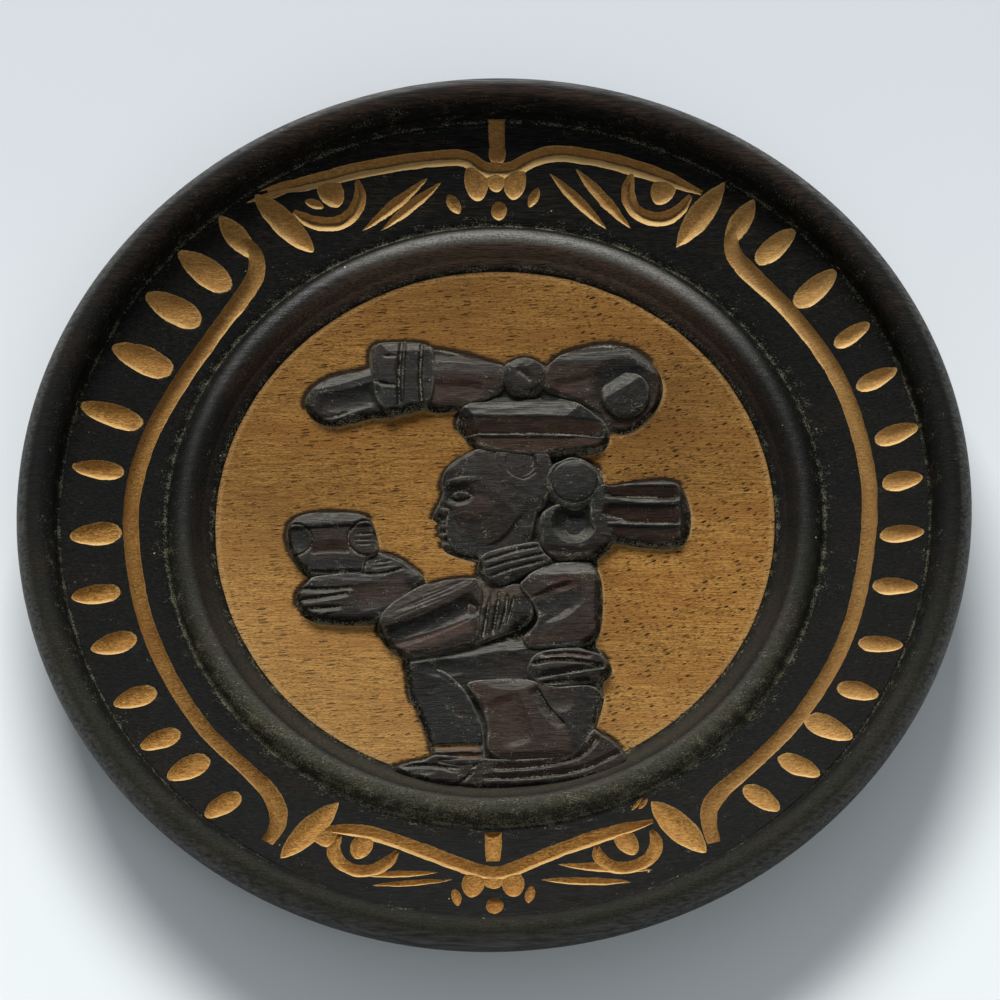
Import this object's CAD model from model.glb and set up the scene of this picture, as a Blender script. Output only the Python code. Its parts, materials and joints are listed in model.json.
# %% [markdown]
# A carved wooden wall plate.
# A disc of light wood is turned on a lathe, stained nearly black, and then carved with gouges and
# knives, so that bare wood shows wherever a tool has cut through the stain. The scene builds it in
# that order: turn the board, cut the rim, carve the figure, finish the wood, and light it.
# Drawing is done in millimetres, with the figure's head towards +Y, and every piece is made in
# metres at the very end, because Blender and the frame both count in metres.

import json
import math

import bmesh
import bpy
import numpy as np
from mathutils import Matrix, Vector, noise

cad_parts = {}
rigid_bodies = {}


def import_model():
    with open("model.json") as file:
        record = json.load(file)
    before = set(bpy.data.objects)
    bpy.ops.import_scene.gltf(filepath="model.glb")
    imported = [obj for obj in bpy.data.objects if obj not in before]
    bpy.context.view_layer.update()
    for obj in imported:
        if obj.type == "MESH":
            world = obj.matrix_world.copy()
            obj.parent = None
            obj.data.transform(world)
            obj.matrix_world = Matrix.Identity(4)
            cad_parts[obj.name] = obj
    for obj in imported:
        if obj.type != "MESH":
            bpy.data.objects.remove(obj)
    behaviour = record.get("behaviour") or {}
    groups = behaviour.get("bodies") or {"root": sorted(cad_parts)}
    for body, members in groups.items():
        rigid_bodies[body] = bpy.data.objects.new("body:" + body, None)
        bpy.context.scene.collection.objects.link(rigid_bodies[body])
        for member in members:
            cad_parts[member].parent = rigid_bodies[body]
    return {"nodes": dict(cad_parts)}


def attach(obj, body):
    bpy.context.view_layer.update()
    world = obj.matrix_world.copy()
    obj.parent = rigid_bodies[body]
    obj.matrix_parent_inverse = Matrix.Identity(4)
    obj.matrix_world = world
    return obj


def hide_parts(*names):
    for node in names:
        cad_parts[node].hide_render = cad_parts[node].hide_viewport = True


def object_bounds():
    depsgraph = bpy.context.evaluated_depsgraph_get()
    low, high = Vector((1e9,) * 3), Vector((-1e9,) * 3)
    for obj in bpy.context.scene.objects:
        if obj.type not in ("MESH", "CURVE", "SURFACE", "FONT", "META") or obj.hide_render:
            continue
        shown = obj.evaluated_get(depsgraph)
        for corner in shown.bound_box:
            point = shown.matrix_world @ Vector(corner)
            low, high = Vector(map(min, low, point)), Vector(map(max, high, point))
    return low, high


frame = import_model()
cad_low, cad_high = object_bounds()
MM = 0.001
print("frame nodes:", ", ".join(sorted(frame["nodes"])))
print("plate across (mm):", round((cad_high.x - cad_low.x) / MM, 1))

# %% [markdown]
# Main sizes. The frame says how wide and how high the plate is. The other sizes are the turner's:
# where the ground ends, where the bead stands and how far the band slopes up to the rolled lip.
# Radii count from the middle of the plate, and heights from the surface that it lies on.

# %% Turned sizes
PLATE_RADIUS = cad_high.x / MM
CREST_Z = cad_high.z / MM
GROUND_Z = 8.5
GROUND_RADIUS = 67.6
ROLL_RADIUS = 4.47
INNER_GROOVE = 80.0
OUTER_GROOVE = 105.0
BAND_LOW_Z = 9.9
BAND_HIGH_Z = 17.0
BEAD_RADIUS = 75.4
BEAD_Z = 13.0
RECESS_RADIUS = 57.0
RECESS_Z = 4.2
FOOT_INNER = 59.0
FOOT_OUTER = 72.0
FLOOR_Z = GROUND_Z - 1.6
SEAT_RADIUS = GROUND_RADIUS - 0.6

BAND_SLOPE = math.atan2(BAND_HIGH_Z - BAND_LOW_Z, OUTER_GROOVE - INNER_GROOVE)
ROLL_CENTRE = (PLATE_RADIUS - ROLL_RADIUS, CREST_Z - ROLL_RADIUS)
print("band slope (degrees):", round(math.degrees(BAND_SLOPE), 1))

# %% [markdown]
# Helpers for making pieces. A mesh is drawn in millimetres in a bmesh and becomes a finished
# object here: it is scaled to metres about the origin, so the object itself stays untransformed,
# its faces are turned outwards, and edges sharper than the given angle stay crisp.

# %% Finishing a piece
def finished(name, bm, crisp_angle=35.0, recalculate=True):
    """Makes an object in metres of a bmesh in millimetres."""
    if recalculate:
        bmesh.ops.recalc_face_normals(bm, faces=bm.faces[:])
    bmesh.ops.scale(bm, vec=(MM, MM, MM), verts=bm.verts[:])
    mesh = bpy.data.meshes.new(name)
    bm.to_mesh(mesh)
    bm.free()
    mesh.shade_smooth()
    mesh.set_sharp_from_angle(angle=math.radians(crisp_angle))
    piece = bpy.data.objects.new(name, mesh)
    bpy.context.scene.collection.objects.link(piece)
    mesh.calc_loop_triangles()
    print(name, "has", len(mesh.loop_triangles), "triangles")
    return piece


def each_once(parts):
    """Every part once, in the order given, because the order of a set changes from run to run."""
    return list(dict.fromkeys(parts))


# %% Smooth lines through hand-set points
def smooth_line(points, step, closed=False):
    """A curve through the points, with the centripetal spacing that never overshoots."""
    knots = [Vector(p) for p in points]
    spans = len(knots) if closed else len(knots) - 1
    around = knots if closed else [*knots, 2 * knots[-1] - knots[-2], 2 * knots[0] - knots[1]]
    line = []
    for i in range(spans):
        p0, p1, p2, p3 = (around[(i + k) % len(around)] for k in (-1, 0, 1, 2))
        t1 = max((p1 - p0).length, 1e-6) ** 0.5
        t2 = t1 + max((p2 - p1).length, 1e-6) ** 0.5
        t3 = t2 + max((p3 - p2).length, 1e-6) ** 0.5
        pieces = max(1, round((p2 - p1).length / step))
        for k in range(pieces):
            t = t1 + (t2 - t1) * k / pieces
            a1 = p0.lerp(p1, t / t1)
            a2 = p1.lerp(p2, (t - t1) / (t2 - t1))
            a3 = p2.lerp(p3, (t - t2) / (t3 - t2))
            b1 = a1.lerp(a2, t / t2)
            b2 = a2.lerp(a3, (t - t1) / (t3 - t1))
            line.append(b1.lerp(b2, (t - t1) / (t2 - t1)))
    if not closed:
        line.append(knots[-1])
    return line


# %% [markdown]
# The turned board. On a lathe the whole shape comes from one profile, so here one profile is spun
# round the axis. It runs from the middle of the underside out over the foot, up the back of the
# rim, round the rolled lip, down the band, over the bead, and in along the ground. The ground is
# left out of it: it is cut back after turning, so it is a piece of its own with finer faces, and
# the board only has a floor for it to stand on.

# %% Profile of the turning
def arc(centre, radius, start, end, pieces):
    """Points along a part of a circle, between two angles in degrees."""
    angles = [math.radians(start + (end - start) * i / pieces) for i in range(pieces + 1)]
    return [(centre[0] + radius * math.cos(a), centre[1] + radius * math.sin(a)) for a in angles]


def flowing(points, step, closed=False):
    return [tuple(p) for p in smooth_line(points, step, closed)]


def straight(start, end, steps):
    return [tuple(a - i * (a - b) / steps for a, b in zip(start, end)) for i in range(steps + 1)]


def turning_profile():
    """Points of radius and height, from the middle of the underside to the middle of the floor."""
    recess = [(0, RECESS_Z), (20, RECESS_Z), (38, RECESS_Z), (RECESS_RADIUS - 1.2, RECESS_Z)]
    foot = [*arc((RECESS_RADIUS - 1.0, RECESS_Z - 1.0), 1.0, 90, 30, 4),
            (FOOT_INNER, 0.5), (FOOT_INNER + 0.5, 0.0), (FOOT_OUTER - 0.8, 0.0), (FOOT_OUTER, 0.35)]
    back = flowing([(FOOT_OUTER + 0.4, 0.9), (80, 3.4), (91, 7.6), (101, 11.2), (107.2, 14.2),
                    (108.6, 15.5)], 1.6)
    roll = arc(ROLL_CENTRE, ROLL_RADIUS, -104, 196, 34)
    cove = flowing([(106.1, 19.0), (105.7, 17.9), (105.3, 17.1), (OUTER_GROOVE, 16.75), (104.6, 16.8)], 0.4)
    band = straight((104.6, 16.85), (80.9, BAND_LOW_Z + 0.24), 16)
    groove = [(80.4, BAND_LOW_Z - 0.06), (INNER_GROOVE, BAND_LOW_Z - 0.3), (79.6, BAND_LOW_Z - 0.1)]
    bead = flowing([(79.3, 10.3), (78.6, 11.5), (77.6, 12.4), (BEAD_RADIUS + 0.9, 12.9),
                    (BEAD_RADIUS, BEAD_Z), (74.4, 12.94), (72.8, 12.3), (71.2, 11.0)], 0.5)
    bevel = [(70.9, 10.6), (70.6, 10.5), (69.2, 9.7), (68.0, 8.7), (GROUND_RADIUS, 8.2)]
    floor = [(SEAT_RADIUS, 7.8), (SEAT_RADIUS - 0.4, FLOOR_Z), (40, FLOOR_Z), (20, FLOOR_Z), (0, FLOOR_Z)]
    return [*recess, *foot, *back, *roll, *cove, *band, *groove, *bead, *bevel, *floor]


profile = turning_profile()
print("profile points:", len(profile))

# %% Spinning the board
TURN_STEPS = 360


def turned_board(profile):
    bm = bmesh.new()
    points = [bm.verts.new((r, 0.0, z)) for r, z in profile]
    edges = [bm.edges.new(pair) for pair in zip(points, points[1:])]
    bmesh.ops.spin(bm, geom=points + edges, cent=(0, 0, 0), axis=(0, 0, 1), dvec=(0, 0, 0),
                   angle=2 * math.pi, steps=TURN_STEPS, use_merge=True, use_duplicate=False)
    bmesh.ops.remove_doubles(bm, verts=bm.verts[:], dist=1e-4)
    bmesh.ops.recalc_face_normals(bm, faces=bm.faces[:])
    return bm


board = turned_board(profile)
print("board closed:", all(e.is_manifold for e in board.edges), "faces:", len(board.faces))

# %% [markdown]
# Gouge cuts in the rim. A gouge leaves a long, shallow scoop that enters the wood, deepens and
# leaves again. Each scoop is a slice of a long ellipsoid, narrower at one end where the row's
# bites point outwards. The cutters are roughened a little before they are taken out of the board:
# wood tears under a gouge, and the rims of the real cuts are never a perfect curve.

# %% Places on the sloping band
def on_band(angle, radius):
    """The place at an angle round the plate and a radius, on the surface of the band."""
    turn = math.radians(angle)
    z = BAND_LOW_Z + (radius - INNER_GROOVE) * math.tan(BAND_SLOPE)
    return Vector((radius * math.cos(turn), radius * math.sin(turn), z))


def band_normal(angle):
    turn = math.radians(angle)
    tip = math.sin(BAND_SLOPE)
    return Vector((-tip * math.cos(turn), -tip * math.sin(turn), math.cos(BAND_SLOPE)))


# %% Roughening a cutter
BITE_TREMBLE = (0.16, 0.07)
KNIFE_TREMBLE = (0.12, 0.07)
SWEEP_TREMBLE = (0.15, 0.11)
HAND_WAVES = 0.32
TORN_WAVES = (0.8, 2.4, 2.4)
NOISE_SEED = 5

# Without a seed, the vector noise starts from the clock, and each run would leave other rims.
noise.seed_set(NOISE_SEED)


def roughened(verts, coarse, fine, seed):
    """Moves the vertices by smooth noise: coarse for an unsteady hand, fine for torn fibres."""
    shift = Vector((seed * 7.13, seed * 3.71, seed * 5.37))
    for v in verts:
        wide = noise.noise_vector(v.co * HAND_WAVES + shift)
        torn = noise.noise_vector(Vector([c * wave for c, wave in zip(v.co, TORN_WAVES)]) + shift)
        v.co += wide * coarse + torn * fine


# %% One gouge stroke
def stroke_axes(start, end, normal):
    """The middle of a stroke, its length, and its directions: along, across and up."""
    along = end - start
    length = along.length
    along.normalize()
    across = normal.cross(along).normalized()
    return (start + end) / 2, length, along, across, along.cross(across)


STAND_OUT = 0.5


def stroke_cutter(bm, start, end, normal, width, depth, taper):
    """A slice of an ellipsoid, three times as deep as its cut, that stands out of the wood a little."""
    centre, length, along, across, up = stroke_axes(start, end, normal)
    bowl = 3.0 * depth
    spread = 1 / math.sqrt(1 - ((bowl - depth) / bowl) ** 2)
    made = bmesh.ops.create_uvsphere(bm, u_segments=28, v_segments=20, radius=1.0)["verts"]
    middle = centre + up * (bowl - depth)
    for v in made:
        x, y, z = v.co.z, v.co.x, v.co.y
        side = y * spread * width / 2 * (1 - taper * x)
        lift = min(z * bowl, depth + STAND_OUT - bowl)
        v.co = middle + along * (x * spread * length / 2) + across * side + up * lift
    roughened(made, *BITE_TREMBLE, length + middle.x)


# %% One pointed stroke
SLIT_SINK = 0.02
SLIT_STAND_OUT = 0.6


def slit_cutter(bm, start, end, normal, width, depth, pointed):
    """A V-section stroke: pointed 1 is a leaf with sharp ends, and 0 has a scoop's round ends."""
    centre, length, along, across, up = stroke_axes(start, end, normal)
    made = bmesh.ops.create_uvsphere(bm, u_segments=28, v_segments=30, radius=1.0)["verts"]
    middle = centre - up * SLIT_SINK
    vee = 0.3 + 0.5 * pointed
    for v in made:
        x, y, z = v.co.z, v.co.x, v.co.y
        ring = max(math.hypot(y, z), 1e-6)
        share = max(1 - x * x, 0.0) ** (0.5 + 0.45 * pointed)
        round_side, flat_side = y / ring, math.copysign(1 - abs(z / ring), y)
        side = (round_side * (1 - vee) + flat_side * vee) if z < 0 else round_side
        lift = min(z / ring * share * depth, SLIT_STAND_OUT)
        v.co = middle + along * (x * length / 2) + across * (side * share * width / 2) + up * lift
    roughened(made, *KNIFE_TREMBLE, length + middle.x)


# %% One long sweep
def sweep_cutter(bm, spots, widths, depth, sides=16, step=1.3, vee=0.0):
    """A tool pushed along a line: its section is carried along it and closed at both ends. The
    section is round for a gouge, and nears a V as vee nears 1."""
    line = smooth_line(spots, step)
    count = len(line)
    rings = []
    for i, spot in enumerate(line):
        share = i / (count - 1) * (len(widths) - 1)
        low = min(int(share), len(widths) - 2)
        width = widths[low] + (widths[low + 1] - widths[low]) * (share - low)
        deep = depth * min(1.0, width / max(widths) + 0.25)
        radius = (width * width / 4 + deep * deep) / (2 * deep)
        ahead = line[min(i + 1, count - 1)] - line[max(i - 1, 0)]
        up = band_normal(math.degrees(math.atan2(spot.y, spot.x)))
        across = up.cross(ahead).normalized()
        turn = Matrix((across, up, across.cross(up))).transposed().to_4x4()
        turn.translation = spot + up * (radius - deep)
        ring = bmesh.ops.create_circle(bm, segments=sides, radius=radius, matrix=turn)["verts"]
        for v in ring:
            sunk = min(-(v.co - spot).dot(up) / deep, 1.0)
            side = (v.co - spot).dot(across)
            if sunk > 0:
                straight_side = math.copysign((1 - sunk) * width / 2, side)
                v.co += across * (straight_side - side) * vee
        rings.append(ring)
    every = [v for ring in rings for v in ring]
    bmesh.ops.bridge_loops(bm, edges=each_once(e for v in every for e in v.link_edges))
    for ring in (rings[0], rings[-1]):
        bmesh.ops.contextual_create(bm, geom=ring)
    roughened(every, *SWEEP_TREMBLE, widths[0] + len(spots))


# %% [markdown]
# The rim's ornament. Along each side runs a row of single gouge bites, pointing outwards, and
# inside each row a line that hooks out to the lip at both ends. Between the rows, at the top and
# at the bottom, sit two masks: a brow line, two eyes, a nose and slanting cheek cuts. Every cut is
# placed by its angle round the plate, anticlockwise from +X, and by its radius.

# %% Bites and lines
# A bite is the angle of its inner and of its outer end, the radius of both, and its width.
BITES = [
    (4.6, 4.6, 94, 104, 5.2), (11.7, 11.9, 94, 105, 5.2), (20.7, 20.8, 93.8, 104.6, 4.7),
    (28.5, 28.5, 94, 104, 4.5), (37.3, 37.5, 92, 105, 6.2), (46.6, 45.8, 92.8, 105, 5.8),
    (137.1, 138.6, 89.6, 104.6, 7.4), (144.7, 146.2, 89, 104, 7.4), (154.1, 155.1, 88, 103.6, 7.4),
    (164.3, 164.8, 89.2, 105, 6.2), (172.9, 173.8, 90.6, 103.2, 5.2), (182.8, 184.2, 90, 102.6, 6.2),
    (192.8, 193.2, 92, 104, 5.4), (200.7, 201.2, 91, 103.2, 5.8), (210, 209.8, 92.4, 103.6, 5.5),
    (217.6, 216.9, 93.6, 104, 5.1), (223.5, 222.6, 92.4, 104, 6), (230.9, 230, 94, 104.6, 5.2),
    (310.3, 311.1, 92.8, 103.9, 5.2), (317.2, 318.3, 93, 104.5, 5.2), (324.6, 325, 91.3, 104.5, 5.9),
    (331.2, 332, 93.8, 104.5, 4.9), (338.8, 339.8, 93.8, 104.6, 4.6), (348.2, 348.5, 93, 104, 4.7),
    (356.4, 356.6, 93, 104, 4.7),
]
RIGHT_LINE = [
    (-58.5, 101), (-57.4, 96), (-55.6, 92), (-52.6, 90.2), (-45, 89.8), (-35, 90.2), (-20, 90.5),
    (0, 90.7), (12, 91), (25, 91), (38, 90.2), (46, 90), (50.2, 91.2), (52.2, 94), (52.7, 97.5),
]
LEFT_LINE = [
    (130.6, 97), (130.4, 92.4), (132, 88.8), (135.4, 86.8), (142, 85.4), (150, 85), (158, 85.7),
    (168, 87.2), (180, 88.1), (200, 88), (218, 88.3), (229, 88), (234, 89.2), (237, 92.2),
    (238.4, 96.2), (238.6, 100.8),
]
LINE_WIDTH = 4.1
LINE_DEPTH = 1.5
BITE_DEPTH = 1.45
BITE_TAPER = 0.24

# %% The two masks
# A stroke is its start, its end, its width, its depth and how pointed it is.
HOOKS = [
    ((52.0, 91.4), (52.9, 105), 5.6, 1.6, 0.9), ((130.9, 91), (131.0, 105.2), 5.8, 1.6, 0.9),
]
TOP_MASK = {
    "depth": 1.9,
    "brow": [(59.6, 99.6), (67, 99.2), (75, 98.9), (82, 98.2), (85.4, 96), (87.6, 93.8), (90.4, 93),
             (92.6, 93.8), (94.8, 96.4), (100, 97.4), (108, 98.4), (116, 100), (123.6, 103)],
    "eyes": [
        [(60.9, 98), (61.4, 93.4), (62.9, 90.2), (65.6, 88.8), (68.2, 89.8), (69.8, 93), (70.2, 98)],
        [(111.2, 96.8), (111.6, 93), (113.2, 90), (115.6, 88.7), (118.2, 89.6), (120.3, 92),
         (121.8, 96)],
    ],
    "tick": [(90.3, 105.7), (90.3, 102), (90.2, 99), (90.2, 96.6)],
    "strokes": [
        ((90.2, 100.4), (90.2, 94.6), 4.4, 1.25, 0.0), ((65, 100.6), (64.9, 92.6), 6.2, 1.7, 0.2),
        ((115.6, 101), (115.4, 92.2), 6.4, 1.7, 0.2), ((57.6, 104.6), (58.9, 85.2), 6.4, 1.9, 0.9),
        ((125.2, 104.2), (122.4, 85.2), 6.4, 1.9, 0.35), ((127, 103.8), (120.4, 101.4), 1.5, 0.6, 1.0),
        ((126, 102.6), (119, 100.6), 1.3, 0.6, 1.0), ((124.6, 104.4), (117.6, 101.8), 1.5, 0.7, 1.0),
        ((119.6, 97), (117.4, 93.6), 2.6, 0.9, 0.6), ((78.6, 95.6), (67.2, 84.8), 3.3, 1.2, 1.0),
        ((82.4, 93.6), (71, 82.8), 3.1, 1.2, 1.0), ((100.8, 93), (113.6, 84.6), 3.3, 1.2, 1.0),
        ((98.8, 91.6), (110.6, 83.2), 3.1, 1.2, 1.0), ((87.4, 96), (87.6, 86.2), 5.8, 1.8, 0.1),
        ((93.6, 96), (93.3, 86), 6.0, 1.8, 0.1), ((90.4, 96), (90.4, 88), 5.0, 1.5, 0.0),
        ((89.9, 81.2), (89.9, 85.8), 4.0, 1.0, 0.1), ((83.6, 89.6), (84.9, 84.6), 2.6, 0.9, 0.6),
        ((98.2, 88.4), (96.6, 83.2), 3.2, 0.9, 0.6),
    ],
}
BOTTOM_MASK = {
    "depth": 1.6,
    "brow": [(244.4, 90.4), (247, 88.4), (250.4, 87), (254, 86.9), (259, 88), (264, 90), (268, 92),
             (270.6, 93), (273.4, 92), (277, 89.8), (281, 88), (286, 87), (291, 87), (296, 88)],
    "eyes": [
        [(246.8, 90), (246.9, 94), (248.6, 97.2), (251.2, 98), (253.6, 96.4), (255.2, 93),
         (255.9, 89.6)],
        [(286.4, 89), (286.2, 92.4), (287.7, 96.2), (290.4, 97.8), (293.2, 96.8), (294.8, 93.4),
         (295, 90)],
    ],
    "tick": [(270.5, 81.4), (270.5, 84), (270.5, 87), (270.5, 89.6)],
    "strokes": [
        ((250.6, 95), (250.6, 87), 5.2, 1.5, 0.2), ((291.2, 94.8), (290.4, 86), 5.2, 1.5, 0.2),
        ((241.5, 102.8), (243.9, 82.2), 6.2, 1.8, 0.6), ((299.9, 102.4), (297.4, 82.8), 7.0, 1.8, 0.6),
        ((243, 93), (247.6, 92.2), 5.2, 1.2, 0.1), ((297.2, 81.6), (294.8, 83.4), 1.4, 0.6, 1.0),
        ((296.4, 80.9), (293.6, 83), 1.1, 0.5, 1.0), ((289.6, 85.2), (283.4, 86.2), 1.8, 0.7, 0.8),
        ((254, 100.8), (265, 95.2), 2.0, 1.0, 1.0), ((252, 99), (262.6, 93.6), 2.2, 1.0, 1.0),
        ((277.2, 95.6), (289.4, 101.8), 2.6, 1.1, 1.0), ((280, 92), (292.6, 100.6), 3.2, 1.2, 1.0),
        ((268, 92), (267.6, 99.8), 5.4, 1.6, 0.1), ((273.2, 92), (273.5, 99.8), 5.4, 1.6, 0.1),
        ((270.6, 92), (270.6, 97.4), 5.4, 1.2, 0.1), ((270.8, 99.9), (270.8, 104.4), 4.2, 1.2, 0.0),
        ((265.2, 97.6), (266, 102.4), 2.4, 0.9, 0.4), ((275.9, 97), (275.2, 101.8), 2.4, 0.9, 0.4),
    ],
}
EYE_WIDTH = 3.7
EYE_DEPTH = 1.5
TICK_WIDTH = 4.1
TICK_DEPTH = 1.1

# %% Making the cutters
def cutter_object(clean, depth, make, *shape, **more):
    """One cutter. Its faces carry how clean the wood is that they leave, from 0 to 1, and how
    deep the cut is in millimetres."""
    bm = bmesh.new()
    make(bm, *shape, **more)
    bmesh.ops.recalc_face_normals(bm, faces=bm.faces[:])
    if bm.calc_volume(signed=True) < 0:
        bmesh.ops.reverse_faces(bm, faces=bm.faces[:])
    for name, value in (("cut", clean), ("depth", depth)):
        layer = bm.faces.layers.float.new(name)
        for face in bm.faces:
            face[layer] = value
    mesh = bpy.data.meshes.new("cutter")
    bm.to_mesh(mesh)
    bm.free()
    return bpy.data.objects.new("cutter", mesh)


def stroke(clean, make, start, end, width, depth, ends):
    """A single stroke. What `ends` says, taper or point, is for the tool that makes it."""
    up = band_normal((start[0] + end[0]) / 2)
    return cutter_object(clean, depth, make, on_band(*start), on_band(*end), up, width, depth, ends)


def sweep(clean, line, widths, depth, **more):
    return cutter_object(clean, depth, sweep_cutter, [on_band(*p) for p in line], widths, depth, **more)


def run_out_widths(width, full):
    """Widths along a line that starts and ends narrow, as the gouge enters and leaves the wood."""
    return [width * 0.3, width * 0.85, *[width] * full, width * 0.85, width * 0.3]


def scaled(width, shares):
    return [width * share for share in shares]


# How clean the wood is in each kind of cut, from 0 to 1.
BITE_CLEAN = 1.0
UPPER_LEFT_CLEAN = 0.95
LINE_CLEAN = 0.5
HOOK_CLEAN = 0.75
TOP_CLEAN = 0.7
BOTTOM_CLEAN = 0.9
BEHIND = 0.01


def rim_cutters():
    """All cutters. The sweeps of a mask are marked a trace less clean than its strokes, so that
    the finish can tell them apart."""
    cutters = []
    for inner_angle, outer_angle, inner, outer, width in BITES:
        clean = UPPER_LEFT_CLEAN if 90 < inner_angle < 180 else BITE_CLEAN
        cutters.append(stroke(clean, stroke_cutter, (inner_angle, inner), (outer_angle, outer),
                              width, BITE_DEPTH, BITE_TAPER))
    widths = scaled(LINE_WIDTH, [0.8, 1.2, *[1.0] * 12, 1.2, 0.8])
    cutters += [sweep(LINE_CLEAN, line, widths, LINE_DEPTH, vee=0.3) for line in (RIGHT_LINE, LEFT_LINE)]
    cutters += [stroke(HOOK_CLEAN, slit_cutter, *hook) for hook in HOOKS]
    for mask, clean in ((TOP_MASK, TOP_CLEAN), (BOTTOM_MASK, BOTTOM_CLEAN)):
        cutters.append(sweep(clean - BEHIND, mask["brow"], run_out_widths(LINE_WIDTH + 0.3, 10),
                             mask["depth"], sides=28, vee=0.85))
        cutters += [sweep(clean - BEHIND, eye, run_out_widths(EYE_WIDTH, 5), EYE_DEPTH,
                          sides=28, step=0.9, vee=0.7) for eye in mask["eyes"]]
        cutters.append(sweep(clean, mask["tick"], scaled(TICK_WIDTH, [1.0, 1.0, 1.0, 0.95, 0.8]),
                             TICK_DEPTH, step=0.8))
        cutters += [stroke(clean, slit_cutter, *one) for one in mask["strokes"]]
    return cutters


# %% [markdown]
# Cutting the rim. All the cutters go into one collection and one Boolean takes them out of the
# board together, which leaves a single closed mesh with crisp rims, as a sharp gouge does.

# %% The carved board
def carve(piece, cutters):
    tray = bpy.data.collections.new("cutters")
    bpy.context.scene.collection.children.link(tray)
    for cutter in cutters:
        tray.objects.link(cutter)
    cut = piece.modifiers.new("gouge cuts", "BOOLEAN")
    cut.operation = "DIFFERENCE"
    cut.operand_type = "COLLECTION"
    cut.collection = tray
    cut.solver = "MANIFOLD"
    bpy.context.view_layer.update()
    graph = bpy.context.evaluated_depsgraph_get()
    result = bpy.data.meshes.new_from_object(piece.evaluated_get(graph))
    piece.modifiers.clear()
    piece.data = result
    for cutter in cutters:
        bpy.data.meshes.remove(cutter.data)
    bpy.data.collections.remove(tray)


def carved_board(bm):
    for name in ("cut", "depth"):
        bm.faces.layers.float.new(name)
    mesh = bpy.data.meshes.new("blank")
    bm.to_mesh(mesh)
    bm.free()
    blank = bpy.data.objects.new("blank", mesh)
    bpy.context.scene.collection.objects.link(blank)
    cutters = rim_cutters()
    print("cuts in the rim:", len(cutters))
    carve(blank, cutters)
    cut = bmesh.new()
    cut.from_mesh(blank.data)
    bpy.data.objects.remove(blank)
    return finished("plate_board", cut, crisp_angle=38, recalculate=False)


board_piece = carved_board(board)

# %% [markdown]
# The carver's tools for the figure. Each form of the figure is a small block left standing on the
# ground. Its top is worked out as a height over a fine grid: knives take flat facets off it,
# gouges run flutes and grooves along it, and the wall at its outline is cut nearly straight down
# and rounded over. Each tool below takes the heights and gives them back changed. `tone` is how
# far the dark stain is rubbed through to brown on that face.

# %% Heights of one form
def outline_distance(spots, outline):
    """Signed distance of each spot from a closed outline, positive inside, and the nearest point."""
    x, y = spots[:, 0], spots[:, 1]
    best = np.full(len(spots), np.inf)
    near = np.zeros_like(spots)
    inside = np.zeros(len(spots), bool)
    for (ax, ay), (bx, by) in zip(outline, np.roll(outline, -1, axis=0)):
        ex, ey = bx - ax, by - ay
        share = np.clip(((x - ax) * ex + (y - ay) * ey) / (ex * ex + ey * ey), 0, 1)
        qx, qy = ax + share * ex, ay + share * ey
        gap = (x - qx) ** 2 + (y - qy) ** 2
        closer = gap < best
        best[closer] = gap[closer]
        near[closer, 0] = qx[closer]
        near[closer, 1] = qy[closer]
        if ey:
            inside ^= ((ay > y) != (by > y)) & (x < ex * (y - ay) / ey + ax)
    distance = np.sqrt(best)
    return np.where(inside, distance, -distance), near


def soft_step(value, low, high):
    t = np.clip((value - low) / (high - low), 0, 1)
    return t * t * (3 - 2 * t)


def beside(form, start, end):
    """Distance from a straight line, positive on its left, and the distance along it."""
    start, end = np.array(start, float), np.array(end, float)
    way = (end - start) / np.linalg.norm(end - start)
    dx, dy = form["x"] - start[0], form["y"] - start[1]
    return way[0] * dy - way[1] * dx, way[0] * dx + way[1] * dy


def along_path(form, points):
    """Signed distance from a curved path, and how far each place is from its nearer end."""
    line = np.array(flowing(points, 1.2))
    best = np.full(form["x"].shape, np.inf)
    side = np.zeros(form["x"].shape)
    share = np.zeros(form["x"].shape)
    spans = np.linalg.norm(np.diff(line, axis=0), axis=1)
    total, walked = spans.sum(), 0.0
    for (ax, ay), (bx, by), span in zip(line, line[1:], spans):
        dx, dy = form["x"] - ax, form["y"] - ay
        t = np.clip((dx * (bx - ax) + dy * (by - ay)) / span ** 2, 0, 1)
        gap = np.hypot(dx - t * (bx - ax), dy - t * (by - ay))
        closer = gap < best
        best[closer] = gap[closer]
        side[closer] = np.where((bx - ax) * dy - (by - ay) * dx > 0, gap, -gap)[closer]
        share[closer] = (walked + t[closer] * span) / total
        walked += span
    return side, np.minimum(share, 1 - share) * total


# %% Knife and gouge
def toned(form, mask, tone):
    if tone is not None:
        form["tone"] = form["tone"] * (1 - mask) + tone * mask


def facet(start, end, slope, tone=None, drop=0.0):
    """A flat knife cut: left of the line the wood falls away."""
    def cut(form):
        side, _ = beside(form, start, end)
        plane = form["top"] - drop - slope * side
        form["z"] = np.where((side > 0) & (plane < form["z"]), plane, form["z"])
        toned(form, soft_step(side, -0.1, 0.3), tone)
    return cut


def vee(points, left, right, depth, tone=None, run_out=1.5):
    """A V cut along a path. Its two walls have widths of their own, seen along the path."""
    def cut(form):
        side, end_gap = along_path(form, points)
        ends = soft_step(end_gap, -0.3, run_out)
        across = np.where(side > 0, 1 - side / left, 1 + side / right)
        form["z"] = form["z"] - depth * ends * np.clip(across, 0, 1)
        toned(form, soft_step(across, 0.0, 0.3) * ends, tone)
    return cut


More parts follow.
